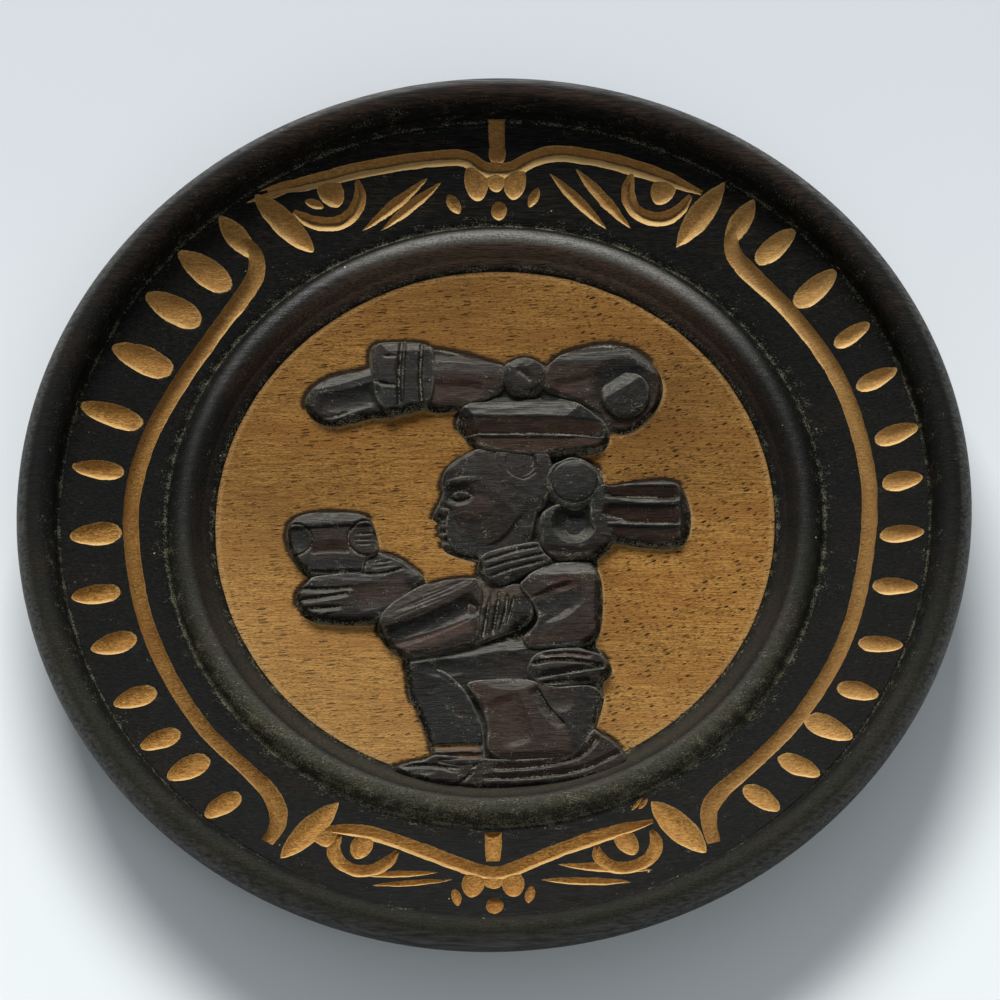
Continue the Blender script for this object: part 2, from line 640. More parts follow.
def flute(points, width, depth, tone=None, run_out=2.2):
    """A round gouge cut along a path."""
    def cut(form):
        side, end_gap = along_path(form, points)
        ends = soft_step(end_gap, -0.3, run_out)
        form["z"] = form["z"] - depth * ends * np.clip(1 - (2 * side / width) ** 2, 0, 1)
        toned(form, soft_step(1 - np.abs(2 * side / width), 0.0, 0.3) * ends, tone)
    return cut


def turned_by(form, centre, degrees):
    """The form's places, counted from a centre along axes turned by an angle."""
    c, s = math.cos(math.radians(degrees)), math.sin(math.radians(degrees))
    dx, dy = form["x"] - centre[0], form["y"] - centre[1]
    return dx * c + dy * s, dy * c - dx * s


def hollow(centre, radius, depth, tone=None, squeeze=1.0, turn=0.0):
    """A round hollow, or an oval one when it is squeezed."""
    def cut(form):
        along, across = turned_by(form, centre, turn)
        gap = np.hypot(along, across / squeeze) / radius
        form["z"] = form["z"] - depth * np.clip(1 - gap ** 2, 0, 1)
        toned(form, soft_step(1 - gap, 0.0, 0.25), tone)
    return cut


def mound(centre, radius, height, tone=None, squeeze=1.0, turn=0.0):
    """A hollow turned upside down."""
    return hollow(centre, radius, -height, tone, squeeze, turn)


def ring_line(centre, radius, width, depth, tone=None):
    """A circle drawn with the tip of a knife."""
    def cut(form):
        gap = np.abs(np.hypot(form["x"] - centre[0], form["y"] - centre[1]) - radius)
        across = np.clip(1 - gap / (width / 2), 0, 1)
        form["z"] = form["z"] - depth * across
        toned(form, across, tone)
    return cut


def lowered(start, end, drop, soft=0.4, tone=None):
    """Left of the line the wood lies lower."""
    def cut(form):
        side, _ = beside(form, start, end)
        low = soft_step(side, 0, soft)
        form["z"] = form["z"] - drop * low
        toned(form, low, tone)
    return cut


def crown(height, reach=4.0):
    """Rounds the whole top over towards its outline."""
    def cut(form):
        form["z"] = form["z"] - height * np.exp(-np.clip(form["d"], 0, None) / reach)
    return cut


def scratches(lines, width=0.8, depth=0.25):
    """Several light knife lines."""
    def cut(form):
        for start, end in lines:
            vee([start, end], width / 2, width / 2, depth, run_out=2.5)(form)
    return cut


def knife_marks(depth, length, width, angle, seed):
    """Overlapping shallow scallops, as a knife leaves when it pares a face."""
    def cut(form):
        rng = np.random.default_rng(seed)
        low = np.array([form["x"].min(), form["y"].min()])
        high = np.array([form["x"].max(), form["y"].max()])
        count = int(np.prod(high - low) / (length * width)) + 2
        best = np.full(form["x"].shape, np.inf)
        for spot in low + rng.random((count, 2)) * (high - low):
            along, across = turned_by(form, spot, angle)
            best = np.minimum(best, (along / length) ** 2 + (across / width) ** 2)
        form["z"] = form["z"] - depth * (1 - np.clip(best, 0, 1.4))
    return cut


# %% [markdown]
# One form, from its outline to a closed block. A fine grid is laid over the outline, the grid
# points next to the outline are moved onto it, and the faces outside are deleted. The tools have
# set the height of every point; the wall rises steeply from the ground and rounds over into the
# top. The last step closes the underside, which is sunk in the ground. Four values are kept on
# the points for the finish: the tone, how near the outline is, how sharply the wood stands out or
# falls in, because stain wears off what stands out and dirt collects in what falls in, and how
# far the form slants down to the ground along the border of the figure.

# %% What a form is
def block(points, top, wall, tone, *cuts, spacing=0.7):
    """A form: its outline, the height of its top, the width of its wall, its tone and its cuts."""
    return np.array(flowing(points, spacing, closed=True)), top, wall, tone, cuts


def disc(centre, radius, top, wall, tone, *cuts):
    turns = np.linspace(0, 2 * math.pi, 64, endpoint=False)
    outline = [(centre[0] + radius * math.cos(a), centre[1] + radius * math.sin(a)) for a in turns]
    return np.array(outline), top, wall, tone, cuts


def blurred(field, rounds):
    for _ in range(rounds):
        padded = np.pad(field, 1, mode="edge")
        field = (padded[:-2, 1:-1] + padded[2:, 1:-1] + padded[1:-1, :-2] + padded[1:-1, 2:]
                 + 4 * field) / 8
    return field


# %% The border of the figure
BORDER_CELL = 0.3
BORDER_HALF = 72.0
BORDER_SPREAD = 1.25
BORDER_START, BORDER_SPAN = 0.46, 0.42


def border_field(outlines):
    """A map of the figure's whole mass: 1 well inside it, falling to 0 along its outside."""
    ticks = np.arange(-BORDER_HALF, BORDER_HALF, BORDER_CELL)
    x, y = np.meshgrid(ticks, ticks)
    spots = np.column_stack([x.ravel(), y.ravel()])
    inside = np.zeros(len(spots), bool)
    for outline in outlines:
        close = np.all((spots > outline.min(axis=0)) & (spots < outline.max(axis=0)), axis=1)
        inside[close] |= outline_distance(spots[close], outline)[0] > 0
    rounds = round((BORDER_SPREAD / BORDER_CELL / 0.5) ** 2)
    field = blurred(inside.reshape(x.shape).astype(float), rounds)
    return np.clip((field - BORDER_START) / BORDER_SPAN, 0, 1)


def border_height(mass, x, y):
    """The map's value at each place, worked out from the four cells round it."""
    column = np.clip((x + BORDER_HALF) / BORDER_CELL, 0, mass.shape[1] - 1.01)
    row = np.clip((y + BORDER_HALF) / BORDER_CELL, 0, mass.shape[0] - 1.01)
    c, r = column.astype(int), row.astype(int)
    u, v = column - c, row - r
    return ((mass[r, c] * (1 - u) + mass[r, c + 1] * u) * (1 - v)
            + (mass[r + 1, c] * (1 - u) + mass[r + 1, c + 1] * u) * v)


# %% Carving one form
CELL = 0.24
ROOT_DEPTH = 1.0
SLANT_SINK = 0.4
LEAST_HEIGHT = 0.2
WALL_POWER = 5
RELIEF_ROUNDS, RELIEF_SPAN = 8, 0.25
EDGE_REACH = 0.8
VALUES = ("tone", "edge", "relief", "slope")


def form_grid(bm, outline):
    """A grid over the outline, with the points that lie close to the outline moved onto it."""
    low, high = outline.min(axis=0) - 2 * CELL, outline.max(axis=0) + 2 * CELL
    size = high - low
    nx, ny = (int(n) for n in np.ceil(size / CELL))
    verts = bmesh.ops.create_grid(bm, x_segments=nx, y_segments=ny, size=0.5)["verts"]
    spots = np.array([(v.co.x, v.co.y) for v in verts]) * size + (low + high) / 2
    distance, near = outline_distance(spots, outline)
    on_line = np.abs(distance) < CELL * 0.55
    spots[on_line] = near[on_line]
    distance[on_line] = 0.0
    return verts, spots, distance, (ny + 1, nx + 1)


def heights_and_values(form, wall, cuts, mass, slant):
    """Makes the cuts. Gives the height of every point above the root, and the four values."""
    for cut in cuts:
        cut(form)
    inward = 1 - slant * (1 - border_height(mass, form["x"], form["y"]))
    field = np.maximum((form["z"] + SLANT_SINK) * inward - SLANT_SINK, LEAST_HEIGHT)
    rise = 1 - (1 - np.clip(form["d"] / wall, 0, 1)) ** WALL_POWER
    heights = (field + ROOT_DEPTH) * rise
    tone = form["tone"] * soft_step(inward, 0.6, 1.0)
    edge = np.exp(-np.clip(form["d"], 0, None) / EDGE_REACH)
    relief = np.clip((heights - blurred(heights, RELIEF_ROUNDS)) / RELIEF_SPAN, -1, 1)
    return heights, dict(zip(VALUES, (tone, edge, relief, 1 - inward)))


def carve_form(bm, outline, top, wall, tone, cuts, mass, slant):
    """Adds one closed block to the bmesh."""
    verts, spots, distance, shape = form_grid(bm, outline)
    form = {"x": spots[:, 0].reshape(shape), "y": spots[:, 1].reshape(shape),
            "d": distance.reshape(shape), "top": float(top),
            "z": np.full(shape, float(top)), "tone": np.full(shape, float(tone))}
    heights, values = heights_and_values(form, wall, cuts, mass, slant)
    for v, spot, height in zip(verts, spots, heights.ravel()):
        v.co = (spot[0], spot[1], GROUND_Z - ROOT_DEPTH + height)
    for name, value in values.items():
        layer = bm.verts.layers.float[name]
        for v, amount in zip(verts, value.ravel()):
            v[layer] = amount
    inner = dict(zip(verts, distance > 1e-6))
    faces = each_once(f for v in verts for f in v.link_faces)
    outside = [f for f in faces if not any(inner[v] for v in f.verts)]
    bmesh.ops.delete(bm, geom=outside, context="FACES")
    kept = [v for v in verts if v.is_valid]
    open_rim = each_once(e for v in kept for e in v.link_edges if e.is_boundary)
    bmesh.ops.holes_fill(bm, edges=open_rim, sides=0)


def carved_piece(name, forms, mass, slant=1.0):
    bm = bmesh.new()
    for value in VALUES:
        bm.verts.layers.float.new(value)
    for form in forms:
        carve_form(bm, *form, mass, slant)
    print(name, "closed:", all(e.is_manifold for e in bm.edges), "forms:", len(forms))
    return finished(name, bm, crisp_angle=60)


# %% [markdown]
# The headdress. A feathered crest lies across the top: its tip on the left, a bound knot of three
# folds, a tapering roll, a round knob, and a curl on the right with a faceted button inside. Below
# it the brim has a bright upper facet, a deep V cut and a lower band.

# %% The headdress
headdress = [
    # The tip of the crest.
    block([(-28, 41), (-36, 40.6), (-42, 38.8), (-46, 35.6), (-47.3, 32), (-46, 28.2), (-43, 25.8),
        (-39.5, 25), (-35.5, 25.8), (-31, 27.2), (-26, 28)], 3.0, 2.0, 0.12,
        crown(1.0, 2.6), facet((-46, 33), (-28, 38.4), 0.42, 0.05),
        flute([(-44, 29.6), (-37, 31), (-29, 33.4)], 6.5, 0.9, 0.1),
        vee([(-43, 27.4), (-40, 26.9), (-36, 28.4)], 0.9, 0.5, 0.5),
        scratches([((-42.4, 28.4), (-38, 27.2)), ((-41, 27.2), (-36.6, 28))]),
        knife_marks(0.09, 5, 1.6, 14, 1)),
    # The bound knot, with its three folds.
    block([(-30.8, 47.5), (-24, 48.6), (-18, 48.2), (-15.6, 46.5), (-15.6, 31), (-18, 29.8),
        (-22, 28.6), (-26, 27.8), (-29, 30), (-30.5, 35)], 3.8, 1.3, 0.1,
        facet((-32, 43.9), (-23, 44.4), 0.32, 0.3), lowered((-22.4, 48), (-23, 29), 0.35),
        vee([(-23.2, 48), (-23.8, 38), (-23.4, 29)], 0.8, 0.9, 0.8),
        vee([(-18.3, 47.6), (-18.6, 38), (-18, 30)], 0.7, 0.8, 0.8),
        vee([(-30.6, 36.6), (-27, 35.6), (-24, 35.2)], 0.4, 1.0, 0.5),
        vee([(-30.8, 43.6), (-27, 43.2), (-24, 43.2)], 0.3, 0.9, 0.4),
        facet((-31, 30), (-29.4, 35), 0.3), hollow((-30.2, 33.4), 2.4, 0.5),
        knife_marks(0.08, 1.4, 5, 4, 2)),
    # The tapering roll.
    block([(-17, 46.3), (-9, 45.6), (-3, 43.8), (2, 41.5), (2, 35), (-3, 31.6), (-9, 29.6),
        (-17, 29.6)], 3.3, 1.6, 0.55,
        facet((-17, 41.6), (3, 40.4), 0.75, 0.0), facet((-17, 39), (3, 38.6), 0.16, 0.25),
        facet((3, 37.6), (-17, 38.6), 0.14, 0.62),
        vee([(-16, 35.4), (-9, 35.3), (-3, 34.6)], 1.6, 3.4, 0.45, 0.75),
        knife_marks(0.07, 7, 1.8, -4, 3)),
    # The curl on the right.
    block([(11, 35), (12, 41), (15, 44.8), (20, 47), (26, 48.2), (31.5, 47.6), (36.5, 45), (39.8, 41),
        (41.2, 36.5), (40.6, 32), (38.2, 28), (34.8, 24.6), (31, 22.8), (28, 24), (25, 28), (20, 31),
        (15, 33)], 3.4, 2.0, 0.1,
        facet((10, 42.7), (33, 44.5), 0.95, 0.0), facet((10, 41.4), (33, 42.2), 0.2, 0.15),
        facet((29, 46.5), (37.6, 38.6), 0.55, 0.0), facet((37.6, 39), (34, 25), 0.4, 0.0),
        facet((34, 40.4), (10, 40.9), 0.13, 0.55),
        vee([(14, 35.2), (20, 36.6), (26, 38.6)], 1.8, 4.2, 0.5, 0.65),
        hollow((31, 34.4), 8.4, 1.3, 0.1), knife_marks(0.08, 7, 1.6, 8, 4)),
    # The button inside the curl.
    disc((31.6, 33.3), 6.3, 3.9, 1.4, 0.12,
        facet((26.0, 30.9), (36.6, 38.0), 0.34, 0.05), facet((26.0, 33.9), (34.6, 39.7), 1.4, 0.0),
        facet((36.8, 37.7), (27.5, 31.4), 0.1, 0.16), facet((37, 30), (26, 27.6), 0.35),
        knife_marks(0.08, 1.4, 5, -36, 5)),
    # The knob.
    disc((6.8, 38.3), 5.9, 4.2, 2.0, 0.08,
        crown(0.9, 1.8), facet((3.6, 38.9), (10.8, 40.3), 0.26, 0.1), facet((2, 41.8), (12, 42.4), 0.9),
        vee([(4.8, 39.6), (7, 38), (8.8, 35.8)], 1.6, 1.0, 0.55), facet((4.2, 36), (3.6, 41), 0.3),
        knife_marks(0.07, 3.2, 1.3, 40, 6)),
    # The brim.
    block([(-9.8, 25.2), (-9.2, 28.8), (-6, 31), (-2.4, 31.4), (1, 34), (3, 34.2), (6, 32.8),
        (9.6, 32.6), (11.8, 34.2), (15, 33), (20, 31), (24, 28.4), (27, 25.8), (28, 22), (26.5, 18.8),
        (20, 17.4), (10, 16.6), (3, 17), (-3, 18.2), (-7, 21)], 4.1, 0.9, 0.05,
        facet((-9, 26.8), (28, 26.5), 0.25, 0.0), facet((-9, 30.4), (20, 30.6), 0.85, 0.0, 0.9),
        facet((16.6, 31.6), (17.8, 25), 0.24, 0.0), facet((24, 30), (25.2, 20), 0.7, 0.05),
        facet((-4.4, 24), (-6.4, 30), 0.5, 0.0),
        vee([(-8.6, 22.5), (10, 22.4), (26.4, 22.2)], 4.3, 0.75, 1.75, 0.78),
        facet((27, 21), (-9, 21), 0.14, 0.85, 0.35), hollow((5.6, 33), 2.6, 1.0, 0.0, 0.7),
        hollow((13.4, 33), 2.6, 0.9, 0.0, 0.6), knife_marks(0.07, 8, 1.0, 2, 7)),
]
print("forms of the headdress:", len(headdress))

# %% [markdown]
# The head looks to the left. The face is a plain, calm one, drawn on even thirds: brim to brow,
# brow to nose, nose to chin. The eye is an almond between two lids under a soft brow, with a
# rounded wing to the nose, closed lips and a firm chin.

# %% The face
HEAD_TOP = 18.0
CHIN = -8.6
THIRD = (HEAD_TOP - CHIN) / 3
BROW = HEAD_TOP - THIRD
NOSE = BROW - THIRD
MOUTH = NOSE - THIRD * 0.36
FRONT = -13.4


def on_face(line):
    """Gives places on the face by how far they lie behind its front and above one of its lines."""
    def place(behind, above):
        return FRONT + behind, line + above
    return place


brow, nose, mouth, chin = (on_face(line) for line in (BROW, NOSE, MOUTH, CHIN))
head_outline = [
    (9, HEAD_TOP), (-4, HEAD_TOP + 1), (FRONT + 2.2, HEAD_TOP - 3.2), brow(0.3, 2.4), brow(0, 0),
    brow(0.35, -2.0), nose(-0.7, 3.8), nose(-1.7, 1.9), nose(-2.0, 0.6), nose(-1.3, -0.3),
    nose(-0.5, -0.8), mouth(-0.6, 1.0), mouth(-0.25, 0), mouth(-0.5, -1.0), mouth(0.2, -2.2),
    chin(0.4, 1.8), chin(1.6, 0.1), (-4, CHIN - 2.6), (3, CHIN - 3), (9, CHIN + 3),
]
face_cuts = [
    crown(0.8, 3.2),
    facet((-6, BROW + 3), brow(3, 7), 0.16, 0.2),
    # The socket, the brow, the eye, its two lids and its pupil.
    hollow(brow(4.6, -2.8), 4.2, 0.75, 0.12, 0.72, -6),
    mound(brow(4.9, 0.4), 4.6, 0.4, 0.3, 0.28, 6),
    mound(brow(5.1, -2.9), 2.7, 0.75, 0.15, 0.52, -3),
    vee([brow(2.2, -3.2), brow(4, -1.7), brow(6, -1.8), brow(8, -3.2)], 0.35, 0.5, 0.42, run_out=0.6),
    vee([brow(2.3, -3.4), brow(4.2, -4.3), brow(6.2, -4.3), brow(7.9, -3.3)], 0.45, 0.35, 0.34, run_out=0.6),
    hollow(brow(4.6, -2.9), 0.7, 0.3),
    # The cheek, the wing of the nose with its crease and nostril, and the fold beside it.
    mound(nose(8.4, 2.2), 4.6, 0.4, 0.4, 0.8),
    mound(nose(1.0, 1.5), 1.5, 0.4, 0.3),
    vee([nose(1.3, 3.2), nose(2.4, 1.9), nose(1.9, 0.4), nose(0.4, -0.1)], 0.9, 0.4, 0.5, run_out=0.6),
    hollow(nose(0.1, 0.6), 0.6, 0.3, 0.0),
    vee([nose(3, 0.6), nose(4.4, -2), nose(4.6, -4)], 0.9, 1.4, 0.25),
    # The lips and the line between them.
    mound(mouth(1.6, 0.9), 2.2, 0.35, 0.3, 0.42),
    mound(mouth(1.7, -1.1), 2.0, 0.4, 0.3, 0.45),
    vee([mouth(-0.4, 0), mouth(1.8, -0.1), mouth(4, 0.25)], 0.4, 0.45, 0.6, run_out=0.7),
    # The hollow above the chin, the chin, and the jaw.
    hollow(mouth(2.2, -2.6), 1.6, 0.35, None, 0.5),
    mound(chin(2.6, 1.7), 2.4, 0.45, 0.3, 0.8),
    vee([chin(4.4, -1), (-3, CHIN + 0.4), (3, CHIN + 4), (7, CHIN + 9.5)], 0.8, 3.2, 0.5),
    knife_marks(0.06, 4.5, 1.2, 6, 8),
]
print("face thirds (mm):", round(THIRD, 2))

# %% The head
head_forms = [
    # The face.
    block(head_outline, 3.2, 1.2, 0.18, *face_cuts, spacing=0.5),
    # The hair at the temple.
    block([(0, 18), (6, 17.5), (13, 17.5), (14, 10), (12, 3), (6, 0.5), (1, 6), (-1, 12)], 3.4, 1.0, 0.15,
        crown(0.7, 2.0), hollow((6.4, 14.4), 4.0, 1.5, 0.0), hollow((3.4, 6.6), 2.6, 0.4, 0.3, 0.6, 60),
        vee([(3, 16.6), (3.4, 12.4), (7, 10.2), (10.4, 12.4)], 0.5, 0.5, 0.4),
        knife_marks(0.08, 3.4, 1.2, 2, 9)),
    # The ear drop.
    block([(11.5, 2), (10.4, -4.5), (12, -9), (15.5, -11), (20, -10.8), (25, -10.2), (28, -7.4),
        (29, -4), (28, 0), (25.5, 3.5), (19, 5)], 3.5, 1.5, 0.1,
        crown(0.8, 2.2), hollow((19.4, -1.4), 5.6, 2.7, 0.05),
        vee([(12.4, -8.6), (19, -9.4), (26.4, -8)], 1.4, 1.4, 0.35, 0.3),
        knife_marks(0.07, 4, 1.4, 4, 10)),
    # The ear disc.
    disc((19.3, 9.3), 7.4, 4.2, 1.6, 0.08,
        crown(0.9, 2.4), facet((12, 11.6), (27, 12.2), 0.2, 0.05), facet((25, 13), (23.6, 4), 0.16),
        facet((26, 5.4), (12, 4.8), 0.18), facet((14, 4), (13.6, 14), 0.16),
        ring_line((19.3, 9.3), 5.7, 0.9, 0.22), knife_marks(0.05, 2.6, 1.6, 70, 11)),
    # The tassel behind the head.
    block([(24, 8), (30, 9.8), (36, 10.9), (42, 11.2), (45.5, 9.5), (47.3, 5), (48, 0.5), (47.4, -3.5),
        (45.8, -6.4), (43, -7.4), (36, -7.1), (30, -6), (24, -4)], 3.4, 1.0, 0.05,
        facet((26, 8.2), (46, 8.8), 0.7, 0.0), facet((44.6, 12), (45, -9), 0.75, 0.0),
        vee([(26.4, 6.2), (35, 5.8), (45, 5.5)], 2.7, 1.3, 1.7, 0.8, 2.0),
        vee([(26, 1.2), (35, -0.9), (45.2, -1.3)], 4.2, 1.0, 1.9, 0.8, 2.0),
        vee([(28, -4.6), (36, -5.9), (45, -6)], 3.0, 0.8, 1.2, 0.7, 2.0),
        flute([(27, 3.7), (36, 3.3), (44.6, 3.4)], 1.8, -0.4, 0.0, 1.0),
        flute([(27, -2.1), (36, -2.4), (45, -2.4)], 1.2, -0.3, 0.0, 1.0),
        knife_marks(0.06, 6, 0.9, -2, 12)),
    # The collar.
    block([(-4.2, -13), (-3, -9.8), (1, -8), (6, -6.8), (10.6, -6.2), (12.4, -9), (14.4, -11.5),
        (10, -13.6), (5, -16.2), (1.5, -18), (-1, -17.4)], 3.8, 1.1, 0.15,
        crown(0.6, 1.8), vee([(-2.8, -12), (4, -9.6), (11, -7.9)], 0.6, 0.6, 0.4),
        vee([(-2.4, -14), (4, -11.9), (12.6, -9.7)], 0.6, 0.6, 0.45),
        vee([(-1, -16), (4, -14), (12, -11.6)], 0.6, 0.6, 0.4), knife_marks(0.08, 4.4, 1.0, 20, 13)),
]
print("forms of the head:", len(head_forms))

# %% [markdown]
# The body. The figure sits with its arm held out: the hand carries a vessel, the forearm is a long
# leaf shape with one deep scoop, the sleeve is gathered at the elbow, and the shoulder is a square
# block. A knotted belt, the near thigh, the garment and a low plinth finish it below.

# %% The arm, the hand and the vessel
arm_forms = [
    # The hand.
    block([(-31, -10), (-28, -8.2), (-24.5, -8.8), (-20, -11.5), (-16.4, -15.4), (-20, -19.5),
        (-25, -24.5), (-28, -27.2), (-34, -27.6), (-41, -27.3), (-45, -26), (-47.3, -23.5),
        (-48, -20.5), (-47, -17.5), (-44.5, -15.6), (-38, -14.4), (-32, -13.5)], 3.0, 0.8, 0.18,
        crown(0.5, 1.6), facet((-48, -18.2), (-18, -16.6), 0.16, 0.1),
        facet((-20, -24), (-44, -25.6), 0.25),
        vee([(-47.8, -18.6), (-41, -18.9), (-33.6, -18.4)], 0.5, 1.3, 0.6),
        vee([(-48, -21.8), (-43, -21.2), (-34.6, -19.8)], 0.5, 1.4, 0.65),
        vee([(-47, -23.9), (-42, -23.8), (-36, -23.4)], 0.5, 1.2, 0.6),
        vee([(-45, -26.2), (-41, -25.9), (-38, -25.3)], 0.4, 1.1, 0.5),
        flute([(-34, -22), (-27, -20), (-20, -16.6)], 7.5, 0.45, 0.5),
        vee([(-32, -14.8), (-27, -14.6), (-21.6, -13.2)], 0.5, 0.6, 0.55),
        facet((-31, -11.4), (-21, -11.8), 0.4, 0.1),
        scratches([((-30, -13.2), (-24.4, -12.4)), ((-29, -12), (-24, -11))]),
        knife_marks(0.07, 5, 1.2, 4, 21)),
    # The vessel.
    block([(-50.6, -2), (-49.6, 0.4), (-46, 2.2), (-40, 2.9), (-34, 2.5), (-30.2, 1.2), (-28.4, -3),
        (-27.6, -7), (-28, -9.6), (-30.5, -11), (-31.2, -14.6), (-38, -15.4), (-45, -15),
        (-48.4, -11.5), (-50.4, -6.5)], 3.6, 1.3, 0.1,
        facet((-51, -2.5), (-28, -1.0), 0.24, 0.1), facet((-51, 0.9), (-28, 1.2), 0.9, 0.0, 0.7),
        lowered((-28, -1.7), (-51, -2.9), 0.5, 0.5, 0.3), hollow((-47.8, -6.2), 3.9, 0.5, 0.05),
        ring_line((-48, -6.1), 4.0, 0.8, 0.4), hollow((-30.8, -5.6), 4.2, 0.25, 0.05),
        ring_line((-30.8, -5.6), 4.5, 0.9, 0.55),
        scratches([((-34.4, -4.6), (-28.4, -4.2)), ((-34.6, -6), (-28.4, -5.7)),
                   ((-34, -7.2), (-29, -7))]),
        vee([(-44.6, -9.2), (-40, -8.7), (-34.6, -8.9)], 2.6, 0.9, 0.8, 0.5),
        facet((-28, -10.4), (-49, -10.6), 0.15, 0.1),
        vee([(-48, -14.2), (-40, -14.5), (-31, -14.2)], 0.6, 0.8, 0.5),
        knife_marks(0.07, 1.2, 3.6, 3, 22)),
    # The forearm.
    block([(-28, -27.5), (-26.5, -24), (-22, -20), (-16.5, -16.8), (-11, -15.2), (-5, -15), (-2.6, -18),
        (-2.6, -25), (-3.4, -32.6), (-9, -34.8), (-15, -36.2), (-21, -36.6), (-25, -34),
        (-27.6, -30.5)], 3.8, 1.5, 0.25,
        crown(0.6, 1.8), facet((-27, -28.6), (-3, -17.6), 0.2, 0.32),
        facet((-8, -33), (-25, -35.2), 0.3, 0.5),
        flute([(-26, -32.4), (-17, -29.4), (-9, -25.6), (-3.6, -22.4)], 6.4, 1.35, 0.05),
        vee([(-25, -33.6), (-16, -31.2), (-5, -27)], 0.6, 3.6, 0.4, 0.85),
        scratches([((-24, -25.2), (-8, -17.6)), ((-22, -24.8), (-9, -19.4)),
                   ((-25.2, -27.6), (-10, -20.8)), ((-18, -21), (-6, -16.6)),
                   ((-24, -28.6), (-14, -24.4))], 0.9, 0.16), knife_marks(0.09, 6, 1.3, 25, 23)),
    # The gathered sleeve.
    block([(-5, -15.5), (2, -17.6), (6, -16.8), (9, -20), (9.8, -25.6), (5, -29.5), (0, -31.8),
        (-5, -33.2)], 3.0, 0.9, 0.12,
        crown(0.5, 2.0), vee([(-2.6, -17.6), (-3.4, -24), (-4.4, -32)], 0.7, 0.8, 0.85),
        vee([(-0.4, -18), (-1.4, -25), (-2.4, -31.8)], 0.7, 0.7, 0.8),
        vee([(1.6, -18.6), (0.8, -25), (-0.2, -31)], 0.7, 0.7, 0.75),
        vee([(3.4, -19.4), (3, -25), (1.6, -30)], 0.6, 0.7, 0.7),
        vee([(5.2, -20.4), (4.4, -24), (3.2, -28.6)], 0.5, 0.6, 0.5),
        hollow((-3.6, -21.4), 2.6, 0.6, 0.0), facet((10, -24), (3.6, -29.4), 0.35, 0.8),
        facet((4.6, -21.6), (10, -19.6), 0.2, 0.7), knife_marks(0.09, 0.9, 4, -4, 24)),
]
print("forms of the arm:", len(arm_forms))

